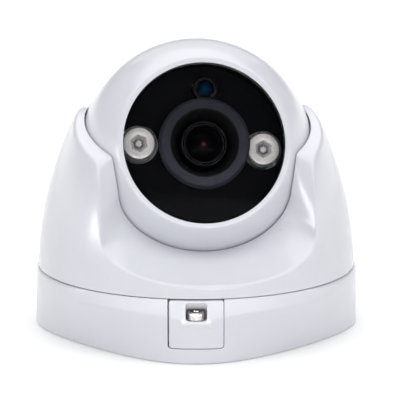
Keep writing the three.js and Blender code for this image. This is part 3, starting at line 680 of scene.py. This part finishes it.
def make_materials():
    """One finish for each of the record's slots."""
    forward = forward_axis()
    lens_middle, sensor_middle = axis_point(LENS_AXIS), axis_point(LIGHT_SENSOR_OFFSET)
    # painted highlight: reddish glints at the lens's middle, dark glass outside
    painted_iris_glint = [(0, (0.05, 0.014, 0.006)), (0.35, (0.10, 0.028, 0.012)), (0.75, (0.012, 0.006, 0.004)),
            (1.6, (0.002, 0.002, 0.002)), (4.5, (0.0008, 0.0008, 0.001)), (6.3, (0.003, 0.003, 0.004))]
    # deep blue coating with a painted reflection: the cyan ring at 0.55 mm
    sensor_blue_and_painted_reflection = [(0, (0.002, 0.010, 0.030)), (0.35, (0.002, 0.014, 0.038)), (0.55, (0.003, 0.075, 0.095)),
            (0.75, (0.002, 0.016, 0.042)), (2.3, (0.002, 0.008, 0.032)), (2.9, (0.001, 0.003, 0.010))]
    return {
        "white_paint": white_paint(),
        "steel": metal("steel", (0.66, 0.63, 0.60), 0.26),
        "grey_plastic": plastic("grey_plastic", (0.30, 0.31, 0.33), 0.5),
        "rubber": rubber(),
        "black_plastic": plastic("black_plastic", (0.0018, 0.0018, 0.0030), 0.6, 0.5, 0.01, gloss=0.03),
        "lens_black": plastic("lens_black", (0.003, 0.003, 0.004), 0.42, 0.25, 0.002, gloss=0.08),
        "charcoal_plastic": hood_foam(lens_middle, forward),
        "clear_glass": clear_glass(),
        "lens_glass": coated_glass("lens_glass", lens_middle, forward, painted_iris_glint),
        "sensor_glass": coated_glass("sensor_glass", sensor_middle, forward, sensor_blue_and_painted_reflection),
        "led_lens": led_lens_material("led_lens", -1),
        "clear_plastic": clear_plastic(),
        "led_phosphor": plastic("led_phosphor", (0.70, 0.55, 0.16), 0.4, 0.2),
        "board_white": circuit_board("board_white", (0.70, 0.71, 0.69), (0.80, 0.80, 0.78)),
        "board_green": circuit_board("board_green", (0.010, 0.10, 0.045), (0.02, 0.17, 0.07)),
        "aluminium": metal("aluminium", (0.66, 0.67, 0.69), 0.34, (1, 1, 9), 0.6),
        "chip_black": plastic("chip_black", (0.02, 0.02, 0.022), 0.45),
        "brass": metal("brass", (0.62, 0.45, 0.19), 0.28),
    }


materials = make_materials()


def dress_cad_nodes():
    """Every carried-over CAD node takes its slot's finish."""
    for name, obj in frame["nodes"].items():
        obj.data.materials.clear()
        obj.data.materials.append(materials[slot_of[name]])
        obj.data.shade_smooth()
        obj.data.set_sharp_from_angle(angle=math.radians(35))


# ---------- base ----------


def foot_radius(angle):
    """Radius at the base's foot: four soft noses with flatter stretches between them."""
    quarter = math.pi / 2
    from_nose = np.abs((angle + 8.5 * quarter) % quarter - quarter / 2)
    flat = BASE_FLAT / np.cos(quarter / 2 - from_nose)
    return smooth_min(BASE_R, flat, FLAT_BLEND)


def base_radius(angle, z):
    """Outer radius of the base at an angle from the front nose and a height."""
    rise = np.minimum(z / FLARE_H, 1)
    wall = lerp(foot_radius(angle), BASE_TOP_R, (rise + step01(rise)) / 2)
    below = BASE_H - z
    lip = np.clip(1 - below / LIP_H, 0, 1)
    wall = wall - (wall - LIP_R) * (1 - np.sqrt(1 - lip**2 * 0.96)) / 0.8
    from_front = np.abs(np.arctan2(np.sin(angle), np.cos(angle)))
    weight = step01((CHAMFER_HALF_ANGLE - from_front) / CHAMFER_FADE)
    chamfer = LIP_R + 0.1 + CHAMFER_SLOPE * below
    return lerp(wall, smooth_min(wall, chamfer, CHAMFER_SOFT), weight)


def base_point(angle, z, inset=0.0):
    r = base_radius(angle, z) - inset
    return (r * math.sin(angle), -r * math.cos(angle), z)


def make_base():
    columns = 320
    angles = [TAU * i / columns for i in range(columns)]
    foot = [(1.0, 0.0), (0.6, 0.0), (0.3, 0.06), (0.08, 0.25), (0.0, 0.6)]
    lip_shares = (0.85, 0.7, 0.55, 0.4, 0.28, 0.18, 0.1, 0.04, 0)
    heights = list(np.linspace(1.0, BASE_H - LIP_H, 46)) + [BASE_H - LIP_H * s for s in lip_shares]
    rows = [[base_point(a, z, inset) for a in angles] for inset, z in foot]
    rows += [[base_point(a, z) for a in angles] for z in heights]
    inside = rounded([(LIP_R - 1.2, BASE_H, 0), (CAVITY_R, BASE_H, 0.4), (CAVITY_R, LEDGE_Z, 0.3),
                      (LEDGE_R, LEDGE_Z, 0.4), (LEDGE_R, FLOOR_T, 1.5), (16, FLOOR_T, 0)], closed=False)
    rows += [[(r * math.sin(a), -r * math.cos(a), z) for a in angles] for r, z in inside]
    base = add_piece("base_housing", skin(rows), WORLD, "base")
    cutters = [rod_tool(CABLE_HOLE_R, -2, FLOOR_T + 2, upright=True)]
    for degrees in (60, 180, 300):
        a = math.radians(degrees)
        x, y = FOOT_SCREW_R * math.sin(a), -FOOT_SCREW_R * math.cos(a)
        cutters.append(rod_tool(FOOT_HOLE_R, -2, FLOOR_T + 2, x, y, True))
    outline = rounded_outline(BLOCK_W + 2 * GAP, BLOCK_BOTTOM - GAP, BASE_H + 4, BLOCK_CORNER + GAP)
    nook = skin([[(x, y, z) for x, z in outline] for y in (-BASE_R - 3, -BLOCK_BACK + GAP)])
    cutters.append(tool(*nook))
    cut_with(base, cutters)


def block_face(x, z):
    """Depth of the block's front face: the base's own surface, with a slight boss under the pocket."""
    angle = np.arctan2(x, BASE_R)
    r = base_radius(angle, z)
    across = step01((BOSS_HALF_W - np.abs(x)) / 0.6)
    boss = BOSS_H * across * step01(z - 12.2) * step01((POCKET_BOTTOM + 1 - z) / 2)
    return -np.sqrt(r**2 - x**2) - boss


def scaled(outline, centre, share):
    return centre + (outline - centre) * share


def face_row(outline, back=0.0):
    """A row of points on the block's front face, or a distance behind it."""
    return [(x, block_face(x, z) + back, z) for x, z in outline]


def block_wall(outer, centre):
    """Rows from the block's back end, along its sides and round its front edge."""
    rows = [[(x, -BLOCK_BACK, z) for x, z in scaled(outer, centre, 0.97)]]
    rows.append([(x, -BLOCK_BACK - 0.4, z) for x, z in outer])
    rows += [face_row(outer, back) for back in (3.0, 1.2, BLOCK_EDGE)]
    for turn in np.linspace(0.2, 1.0, 5) * math.pi / 2:
        inset = BLOCK_EDGE * (1 - math.cos(turn)) / (BLOCK_W / 2)
        rows.append(face_row(scaled(outer, centre, 1 - inset), BLOCK_EDGE * (1 - math.sin(turn))))
    return rows


def pocket_row(outline, y, height_share):
    """A row of points inside the pocket, with the roof lowered to a share of its height."""
    return [(x, y, POCKET_BOTTOM + (z - POCKET_BOTTOM) * height_share) for x, z in outline]


def pocket_wall(pocket):
    """Rows over the pocket's lip and into the pocket, whose roof comes down towards the back."""
    rows = []
    centre = np.array([0, POCKET_BOTTOM + POCKET_H / 2])
    lip_share = POCKET_LIP / (POCKET_W / 2)
    for turn in np.linspace(0, 1, 5) * math.pi / 2:
        ring = scaled(pocket, centre, 1 - lip_share * math.sin(turn))
        rows.append(face_row(ring, POCKET_LIP * (1 - math.cos(turn))))
    inside = scaled(pocket, centre, 1 - lip_share)
    back = POCKET_BACK + 0.3
    for y in np.linspace(-POCKET_FRONT, -back, 12):
        share = (y + POCKET_FRONT) / (POCKET_FRONT - back)
        curve = 1 - (1 - share) ** 2.2
        rows.append(pocket_row(inside, y, 1 - POCKET_DROP / POCKET_H * curve))
    for y, share in ((-POCKET_BACK - 0.1, 0.95), (-POCKET_BACK, 0.85)):
        rows.append(pocket_row(scaled(inside, centre, share), y, 1 - POCKET_DROP / POCKET_H))
    return rows


def make_block():
    outer = rounded_outline(BLOCK_W, BLOCK_BOTTOM, BLOCK_TOP, BLOCK_CORNER)
    pocket = rounded_outline(POCKET_W, POCKET_BOTTOM, POCKET_BOTTOM + POCKET_H, POCKET_CORNER)
    centre = np.array([0, (BLOCK_BOTTOM + BLOCK_TOP) / 2])
    rows = block_wall(outer, centre)
    start = scaled(outer, centre, 1 - BLOCK_EDGE / (BLOCK_W / 2))
    for share in np.linspace(0, 1, 22)[1:-1]:
        rows.append(face_row(lerp(start, pocket, share)))
    rows += pocket_wall(pocket)
    add_piece("locking_block", skin(rows), Matrix.Translation(BLOCK_SETTLE * MM), "lock")


def socket_screw(node, head_r, head_h, shank_r, length, place, body, material=None):
    """Socket head screw along +Z of its place, with the head's seat at height 0. Stations are
    (radius, height, share of a hexagon)."""
    columns = 72
    angles = [TAU * i / columns for i in range(columns)]
    socket_r = head_r * 0.5
    stations = [(0.02, -length, 0), (shank_r * 0.7, -length, 0), (shank_r, -length + 0.4, 0),
                (shank_r, -0.15, 0), (shank_r + 0.2, 0, 0), (head_r - 0.25, 0, 0), (head_r, 0.2, 0),
                (head_r, head_h * 0.4, 0), (head_r, head_h - 0.55, 0), (head_r - 0.05, head_h - 0.38, 0),
                (head_r - 0.18, head_h - 0.14, 0), (head_r - 0.42, head_h, 0),
                (socket_r + 0.35, head_h, 0.2), (socket_r + 0.08, head_h - 0.04, 0.9),
                (socket_r, head_h - 0.2, 1), (socket_r * 0.98, head_h * 0.42, 1),
                (socket_r * 0.7, head_h * 0.36, 0.5), (0.02, head_h * 0.2, 0)]
    rows = []
    for r, z, hexed in stations:
        reaches = [r * lerp(1, hexagon_share(a), hexed) for a in angles]
        rows.append([(reach * math.cos(a), reach * math.sin(a), z) for reach, a in zip(reaches, angles)])
    add_piece(node, skin(rows), place, body, material=material, sharp=50)


def make_lock_screw():
    place = Matrix.Translation(Vector((0, LOCK_SCREW_Y, POCKET_BOTTOM + GAP)) * MM)
    # painted shade in the socket of the screw's head
    socket_shade_place = (middle("locking_screw"), (0, 0, 1), SHANK_R * MM)
    worn_steel_with_socket_shade = metal("steel_lock_screw", (0.60, 0.57, 0.55), 0.24, socket=socket_shade_place)
    socket_screw("locking_screw", 3.0, 2.7, SHANK_R, 8.0, place, "lock", worn_steel_with_socket_shade)


def make_grommet():
    neck, flange = CABLE_HOLE_R - GAP, CABLE_HOLE_R + 2.5
    seat, top = FLOOR_T + GAP, FLOOR_T + 4
    profile = [(CABLE_R, 0.6, 0.3), (neck, 0.6, 0.3), (neck, seat, 0.2), (flange, seat, 0.3),
               (flange, FLOOR_T + 1.6, 0.4), (CABLE_R + 2.5, top, 0.6), (CABLE_R, top, 0.4)]
    add_piece("cable_grommet", lathe(profile, 96, upright=True), WORLD, "base")


# ---------- cover ----------


def cover_radius(z):
    """Outer radius of the cover at a height."""
    return COVER_R - COVER_ARC_R + np.sqrt(COVER_ARC_R**2 - (z - COVER_ARC_Z) ** 2)


def inner_cover_radius(z):
    return cover_radius(z) - COVER_WALL


def seat_radius(z):
    """Radius at a height of the sphere that the opening's lip lies on, a slit outside the ball."""
    return np.sqrt(np.maximum((BALL_R + SLIT) ** 2 - (z - BALL_Z) ** 2, 0))


def top_height(y):
    """Height of the opening's rear rim: a slope that levels off."""
    return smooth_min(TOP_REF_Z + TOP_SLOPE * (y - TOP_REF_Y), REAR_RIM_Z, 2)


def opening_edge(t, edge, radius_at, drop):
    """Half of one edge of the opening, as angle from the front and height: t is 0 at the bottom of
    the U, 1 to 2 up its side and 3 at the middle of the rear rim."""
    wide = edge["half_width"] + drop
    deep = edge["depth"] + drop

    def on_top(azimuth):
        z = np.full_like(azimuth, TOP_REF_Z - drop)
        for _ in range(14):
            z = top_height(-radius_at(z) * np.cos(azimuth)) - drop
        return z

    def wide_at(z):
        return wide + edge["lean"] * np.maximum(z - edge["centre_z"], 0)

    corner = np.array([math.radians(45)])
    for _ in range(14):
        z = on_top(corner)
        corner = np.arcsin(wide_at(z) / radius_at(z))
    corner_z = on_top(corner)[0]
    turn = np.clip(t, 0, 1) * math.pi / 2
    power = 2 / edge["roundness"]
    x = wide * np.sin(turn) ** power
    z = edge["centre_z"] - deep * np.cos(turn) ** power
    z = np.where(t > 1, lerp(edge["centre_z"], corner_z, np.clip(t - 1, 0, 1)), z)
    x = np.where(t > 1, wide_at(z), x)
    azimuth = np.arcsin(np.clip(x / radius_at(z), -1, 1))
    back = lerp(corner[0], math.pi, np.clip(t - 2, 0, 1))
    azimuth = np.where(t > 2, back, azimuth)
    z = np.where(t > 2, on_top(back), z)
    return np.stack([azimuth, z], axis=1)


def closed_round(half, soft):
    """Mirrors half an edge to the other side and softens its corners. Soft is in samples."""
    other = half[1:-1][::-1].copy()
    other[:, 0] = TAU - other[:, 0]
    whole = np.concatenate([half, other])
    offsets = np.arange(-4 * math.ceil(soft), 4 * math.ceil(soft) + 1)
    weights = np.exp(-0.5 * (offsets / soft) ** 2)
    weights /= weights.sum()
    count = len(whole)
    softened = np.zeros_like(whole)
    for offset, weight in zip(offsets, weights):
        moved = np.roll(whole, -offset, axis=0)
        wraps = (np.arange(count) + offset) // count
        moved[:, 0] += wraps * TAU
        softened += moved * weight
    return softened


def polar(edge, radius_at):
    """Points of an edge of (angle, height) on the surface of a radius function."""
    r = radius_at(edge[:, 1])
    return np.stack([r * np.sin(edge[:, 0]), -r * np.cos(edge[:, 0]), edge[:, 1]], axis=1)


def cover_stations(count):
    """Places t along half the opening, evenly spaced along its two edges."""
    t = np.linspace(0, 3, 1500)
    crease = polar(opening_edge(t, CREASE, cover_radius, 0), cover_radius)
    mouth = polar(opening_edge(t, MOUTH, seat_radius, 0), seat_radius)
    step = np.linalg.norm(np.diff((crease + mouth) / 2, axis=0), axis=1)
    length = np.concatenate([[0], np.cumsum(step)])
    return np.interp(np.linspace(0, length[-1], count), length, t)


def blend_rows(start, corner, end, steps):
    """Rows of points that round a corner between two rows."""
    shares = np.linspace(0, 1, steps + 2)[1:-1]
    return [(1 - s) ** 2 * start + 2 * s * (1 - s) * corner + s**2 * end for s in shares]


def toward(start, end, distance):
    """Moves a row of points towards another by a distance in millimetres."""
    way = end - start
    return start + way * (distance / np.linalg.norm(way, axis=1))[:, None]


def make_cover():
    t = cover_stations(200)
    foot_share = np.where(t < 1, t * 0.22, 0.22 + (t - 1) * 0.39)
    foot = closed_round(np.stack([foot_share * math.pi, np.full_like(t, COVER_BOTTOM)], axis=1), 9)
    crease = closed_round(opening_edge(t, CREASE, cover_radius, 0), 2.2)
    mouth = polar(closed_round(opening_edge(t, MOUTH, seat_radius, 0), 1.6), seat_radius)
    seat_end = polar(closed_round(opening_edge(t, MOUTH, seat_radius, LIP_DEPTH), 1.6), seat_radius)
    inner = closed_round(opening_edge(t, CREASE, inner_cover_radius, COVER_WALL * 0.6), 2.2)
    crease_points = polar(crease, cover_radius)
    wall_length = np.linalg.norm(crease_points - polar(foot, cover_radius), axis=1)
    wall_end = 1 - CREASE_ROUND / wall_length
    rows = []
    for inset, up in ((0.5, 0), (0.16, 0.05), (0.03, 0.2)):
        rows.append(polar(foot + (0, up), lambda z, inset=inset: cover_radius(z) - inset))
    for share in np.linspace(0, 1, 34):
        along = (0.008 + share * (wall_end - 0.008))[:, None]
        rows.append(polar(lerp(foot, crease, along), cover_radius))
    band_start = toward(crease_points, mouth, CREASE_ROUND)
    rows += blend_rows(rows[-1], crease_points, band_start, 6)
    band_end = toward(mouth, crease_points, LIP_ROUND)
    for share in np.linspace(0, 1, 10):
        rows.append(lerp(band_start, band_end, share))
    seat_start = toward(mouth, seat_end, LIP_ROUND)
    rows += blend_rows(band_end, mouth, seat_start, 4)
    for share in (0, 0.5, 1):
        rows.append(lerp(seat_start, seat_end, share))
    for share in np.linspace(1, 0, 8):
        rows.append(polar(lerp(foot, inner, share), inner_cover_radius))
    shape = skin([list(map(tuple, row)) for row in rows], ringed=True)
    add_piece("cover_shell", shape, COVER, "cover", sharp=50)


# ---------- ball ----------


def add_ball_piece(node, shape, **settings):
    return add_piece(node, shape, BALL, "ball", **settings)


def shell_screw_places():
    """Places (x, side) of the three shell screws beside the optical axis."""
    return [(SHELL_SCREW_R, 0), (0, -SHELL_SCREW_R), (-SHELL_SCREW_R, 0)]


def make_front_shell():
    inner = BALL_R - SHELL_T
    at_bezel = math.sqrt(BALL_R**2 - BEZEL_R**2)
    pocket_r = GLASS_R + GAP
    outer = ball_arc(BALL_R, SEAM_H + 0.25, at_bezel - 0.25, 40)
    inside = ball_arc(inner, SEAM_H, math.sqrt(inner**2 - pocket_r**2), 14)[::-1]
    seam_r = math.sqrt(BALL_R**2 - SEAM_H**2)
    profile = [(seam_r - 0.25, SEAM_H, 0)] + outer
    profile += [(BEZEL_R, at_bezel, 0.22), (BEZEL_R - 0.8, FACE_H - 0.1, 0.3), (WINDOW_R, FACE_H, 0.3),
                (WINDOW_R, GLASS_FRONT + GAP, 0.1), (pocket_r, GLASS_FRONT + GAP, 0)]
    profile += inside
    add_ball_piece("front_shell", lathe(profile, 192))


def make_rear_shell():
    inner = BALL_R - SHELL_T
    seam, mouth = SEAM_H - GAP, BUSH_R + GAP
    outer = ball_arc(BALL_R, -math.sqrt(BALL_R**2 - mouth**2), seam - 0.25, 40)
    inside = ball_arc(inner, -math.sqrt(inner**2 - mouth**2), seam, 14)[::-1]
    profile = outer + [(outer[-1][0] - 0.25, seam, 0)] + inside
    shell = add_ball_piece("rear_shell", lathe(profile, 192))
    wells = [rod_tool(SHELL_SCREW_WELL_R, -30, -13, x, side, place=BALL) for x, side in shell_screw_places()]
    cut_with(shell, wells)


def make_shell_screws():
    turn = Matrix.Rotation(math.radians(-90), 4, "X")
    for i, (x, side) in enumerate(shell_screw_places(), 1):
        place = BALL @ Matrix.Translation(Vector((x, -SHELL_SCREW_SEAT, side)) * MM) @ turn
        socket_screw(f"shell_screw_{i}", 2.6, 2.3, SHANK_R, 17.3, place, "ball")


def make_window():
    profile = [(0.02, GLASS_FRONT - GLASS_T, 0), (GLASS_R, GLASS_FRONT - GLASS_T, 0.2),
               (GLASS_R, GLASS_FRONT, 0.2), (0.02, GLASS_FRONT, 0)]
    add_ball_piece("window_glass", lathe(profile, 128, closed=False))


def make_bush():
    rim, tip = -math.sqrt(BALL_R**2 - BUSH_R**2), -math.sqrt(BALL_R**2 - (CABLE_R + 0.3) ** 2)
    profile = ball_arc(BALL_R, rim, tip, 8)
    profile += [(CABLE_R, -43.2, 0.2), (CABLE_R, BUSH_FLANGE_FRONT, 0.3),
                (BUSH_FLANGE_R, BUSH_FLANGE_FRONT, 0.3), (BUSH_FLANGE_R, BUSH_FLANGE_BACK, 0.3),
                (BUSH_R, BUSH_FLANGE_BACK, 0.1)]
    add_piece("cable_bush", lathe(profile, 96), BALL, "bush")


# ---------- camera module ----------


def make_mask():
    outer, inner, front = 31.4, 30.3, 25.6
    hole = MASK_HOLE_R - 2
    profile = [(hole, MASK_FRONT - MASK_T, 0.2), (outer, MASK_FRONT - MASK_T, 0.4), (outer, front, 0.3),
               (inner, front, 0.3), (inner, MASK_FRONT, 0.3), (hole, MASK_FRONT, 0.3)]
    mask = add_ball_piece("inner_mask", lathe(profile, 160))
    led_x, led_z = LED_OFFSET[0], LED_OFFSET[2]
    wells = [rod_tool(LED_WELL_R - 0.02, 10, 20, side * led_x, led_z, place=BALL) for side in (-1, 1)]
    sensor_x, sensor_z = LIGHT_SENSOR_OFFSET[0], LIGHT_SENSOR_OFFSET[2]
    wells.append(rod_tool(LIGHT_SENSOR_R + GAP, 10, 20, sensor_x, sensor_z, place=BALL))
    wells.append(rod_tool(MASK_HOLE_R, 10, 20, LENS_AXIS[0], LENS_AXIS[2], place=BALL))
    cut_with(mask, wells)


def make_hood():
    profile = [(9.2, HOOD_BACK, 0.2), (HOOD_NECK_R, HOOD_BACK, 0.3), (HOOD_NECK_R, 18, 0.8),
               (HOOD_R, 23.5, 0.8), (HOOD_R, HOOD_FRONT - 1.2, 0.35),
               (HOOD_R - HOOD_CHAMFER, HOOD_FRONT, 0.3), (HOOD_MOUTH_R, HOOD_FRONT, 0.35),
               (11.6, HOOD_FRONT - 0.9, 0.4), (9.4, 20.6, 0.4)]
    add_ball_piece("lens_hood", off_axis(lathe(profile, 160), LENS_AXIS))


def add_lens_part(node, profile, closed=True):
    add_ball_piece(node, off_axis(lathe(profile, 128, closed), LENS_AXIS))


def make_lens():
    neck = LENS_FRONT - 6.8
    floor = LENS_FRONT - 5.4
    barrel = [(LENS_BORE_R, -4, 0.1), (LENS_BODY_R, -4, 0.2), (LENS_BODY_R, neck, 0.1),
              (LENS_HEAD_R, neck, 0.2), (LENS_HEAD_R, LENS_FRONT - 0.5, 0.2),
              (LENS_HEAD_R - 0.5, LENS_FRONT, 0.25), (LENS_CUP_R, LENS_FRONT, 0.2),
              (LENS_CUP_R, floor, 0.1), (LENS_BORE_R, floor, 0.1)]
    add_lens_part("lens_barrel", barrel)
    back = LENS_FRONT - 5
    ring_r, ring_front = LENS_CUP_R - GAP, LENS_FRONT + 0.1
    ring = [(6.6, back, 0.1), (ring_r, back, 0.1), (ring_r, ring_front, 0.2), (6.9, ring_front, 0.2),
            (6.45, LENS_FRONT - 1.4, 0.2)]
    add_lens_part("lens_front_ring", ring)
    dome = [(LENS_GLASS_R * s, LENS_FRONT - 1.9 - 1.7 * s**2, 0) for s in np.linspace(1, 0.003, 14)]
    element = [(0.02, back, 0), (LENS_GLASS_R, back, 0.1)] + dome
    add_lens_part("lens_front_element", element, closed=False)


def make_light_sensor():
    bore, back, front = LIGHT_CELL_R + GAP, 12.3, 20.4
    holder = [(bore, back, 0.2), (LIGHT_SENSOR_R, back, 0.2), (LIGHT_SENSOR_R, front, 0.5),
              (bore, front, 0.35)]
    shape = off_axis(lathe(holder, 96), LIGHT_SENSOR_OFFSET)
    add_ball_piece("light_sensor_holder", shape, slot="lens_black")
    dome = [(LIGHT_CELL_R * s, front - 1.2 - 0.5 * s**2, 0) for s in np.linspace(1, 0.003, 8)]
    cell = lathe([(0.02, 15, 0), (LIGHT_CELL_R, 15, 0.1)] + dome, 96, closed=False)
    add_ball_piece("light_sensor_cell", off_axis(cell, LIGHT_SENSOR_OFFSET))


def hexed_rows(stations, columns, turn):
    """Rows round the optical axis from (radius, height, hexagon share)."""
    rows = []
    for r, h, share in stations:
        row = []
        for i in range(columns):
            a = TAU * i / columns
            reach = r * lerp(1, hexagon_share(a + turn), share)
            row.append((reach * math.sin(a), -h, reach * math.cos(a)))
        rows.append(row)
    return rows


def make_led_cap(side, label):
    """The optic in front of an emitter: a round rim and a six-sided bowl."""
    front = LED_CAP_FRONT
    cap = [(0.02, 14, 0), (4.6, 14, 0), (LED_CAP_R, 15.5, 0), (LED_CAP_R, front - 0.35, 0),
           (LED_CAP_R - 0.1, front - 0.12, 0), (LED_CAP_R - 0.35, front, 0), (4.2, front - 0.02, 0),
           (3.7, front - 0.1, 0.3), (3.5, front - 0.18, 0.7), (3.1, front - 0.5, 1),
           (2.95, front - 0.62, 1), (2.2, front - 1.45, 1), (2.0, front - 1.95, 1),
           (1.8, front - 2.05, 1), (1.6, front - 1.7, 0.8), (1.3, front - 1.35, 0.2),
           (0.8, front - 1.12, 0), (0.02, front - 1.05, 0)]
    shape = off_axis(skin(hexed_rows(cap, 96, led_turn(side))), LED_OFFSET * (side, 1, 1))
    optic = led_lens_material(f"led_lens_{label}", side)
    add_ball_piece(f"led_cap_{label}", shape, material=optic, sharp=28)


def collar_tab(end, reach):
    """A thin tab that stands on the collar's ring, above (1) or below (-1) the optic."""
    outline = rounded_outline(3.2, -0.28, 0.28, 0.15, 24)
    rows = [[(x, y, z + end * reach) for x, z in outline] for y in (-12.5, -18.9, -19.4)]
    rows.append([(x * 0.9, -19.5, z * 0.8 + end * reach) for x, z in outline])
    return skin(rows)


def turned(shape, angle):
    """A shape turned clockwise about the optical axis, as seen from the front."""
    verts, faces = shape
    x, y, z = verts.T
    across = x * math.cos(angle) + z * math.sin(angle)
    up = z * math.cos(angle) - x * math.sin(angle)
    return np.stack([across, y, up], axis=1), faces


def make_led_collar(side, label):
    """The clear ring round an optic, with its two tabs."""
    inner = LED_CAP_R + GAP
    outer = inner + 0.45
    ring = lathe([(inner, 12.5, 0.1), (outer, 12.5, 0.1), (outer, 19.3, 0.15), (inner, 19.3, 0.15)], 96)
    whole = joined([ring] + [collar_tab(end, inner + 0.35) for end in (-1, 1)])
    tilt = math.radians(40 if side < 0 else 0)
    add_ball_piece(f"led_collar_{label}", off_axis(turned(whole, tilt), LED_OFFSET * (side, 1, 1)))


# ---------- studio ----------


def make_camera():
    data = bpy.data.cameras.new("camera")
    data.sensor_width = 36
    data.lens = CAMERA_FOCAL
    data.clip_start, data.clip_end = 0.01, 50
    camera = put_in_scene("camera", data)
    away = Vector((0, -math.cos(CAMERA_PITCH), math.sin(CAMERA_PITCH)))
    camera.location = CAMERA_TARGET + CAMERA_DISTANCE * away
    camera.rotation_euler = (math.pi / 2 - CAMERA_PITCH, 0, 0)
    bpy.context.scene.camera = camera


def area_light(name, place, size, power):
    data = bpy.data.lights.new(name, "AREA")
    data.shape = "RECTANGLE"
    data.size, data.size_y = size
    data.energy = power
    light = put_in_scene(name, data)
    aim = Vector(LIGHT_TARGET) - Vector(place)
    light.location = place
    light.rotation_mode = "QUATERNION"
    light.rotation_quaternion = aim.to_track_quat("-Z", "Y")
    return light


def make_floor():
    mesh = bpy.data.meshes.new("floor")
    reach = 8.0
    corners = [(-reach, -reach, 0), (reach, -reach, 0), (reach, reach, 0), (-reach, reach, 0)]
    mesh.from_pydata(corners, [], [(0, 1, 2, 3)])
    floor = put_in_scene("floor", mesh)
    floor.location.z = -0.0002
    n = Nodes("floor")
    toned = n.ramp(n.noise(400, 2), [(0.3, (0.74, 0.74, 0.74)), (0.7, (0.77, 0.77, 0.77))])
    mesh.materials.append(n.finish(toned, 0.6, None))
    n.shader.inputs["Emission Color"].default_value = (1, 1, 1, 1)
    n.shader.inputs["Emission Strength"].default_value = 0.18


def make_world():
    """Soft room light: bright overhead, dim at middle height, pale near the horizon."""
    world = bpy.data.worlds.new("studio")
    world.use_nodes = True
    tree = world.node_tree
    place = tree.nodes.new("ShaderNodeTexCoord")
    split = tree.nodes.new("ShaderNodeSeparateXYZ")
    tree.links.new(place.outputs["Generated"], split.inputs[0])
    ramp = tree.nodes.new("ShaderNodeValToRGB")
    stops = ((0.0, 1.45), (0.13, 1.45), (0.2, 0.35), (0.34, 0.06), (0.66, 0.06), (0.75, 1.95),
             (0.96, WORLD_BRIGHTEST))
    fill_ramp(ramp, [(height, [level / WORLD_BRIGHTEST] * 3) for height, level in stops])
    tree.links.new(split.outputs["Z"], ramp.inputs["Fac"])
    tree.links.new(ramp.outputs["Color"], tree.nodes["Background"].inputs["Color"])
    tree.nodes["Background"].inputs["Strength"].default_value = WORLD_BRIGHTEST
    bpy.context.scene.world = world


def make_studio():
    scene = bpy.context.scene
    scene.view_settings.view_transform = "Standard"
    make_camera()
    make_floor()
    make_world()
    area_light("front_softbox", (0, -1.5, 0.42), (1.5, 0.55), 4.4)
    area_light("back_softbox", (0, 1.3, 1.0), (1.4, 0.8), 2.2)
    area_light("right_softbox", (1.4, -0.3, 0.9), (1.0, 1.0), 0.35)
    for name, place, width in (("front_card", (0, -1.8, 0.27), 3.2),
                               ("left_card", (-1.75, -0.95, 0.27), 1.6),
                               ("right_card", (1.75, -0.95, 0.27), 1.6)):
        card = area_light(name, place, (width, CARD_H), CARD_POWER * width)
        card.visible_diffuse = False


make_studio()
dress_cad_nodes()
make_base()
make_block()
make_lock_screw()
make_grommet()
make_cover()
make_front_shell()
make_rear_shell()
make_shell_screws()
make_window()
make_bush()
make_mask()
make_hood()
make_lens()
make_light_sensor()
for side, label in ((-1, "left"), (1, "right")):
    make_led_cap(side, label)
    make_led_collar(side, label)
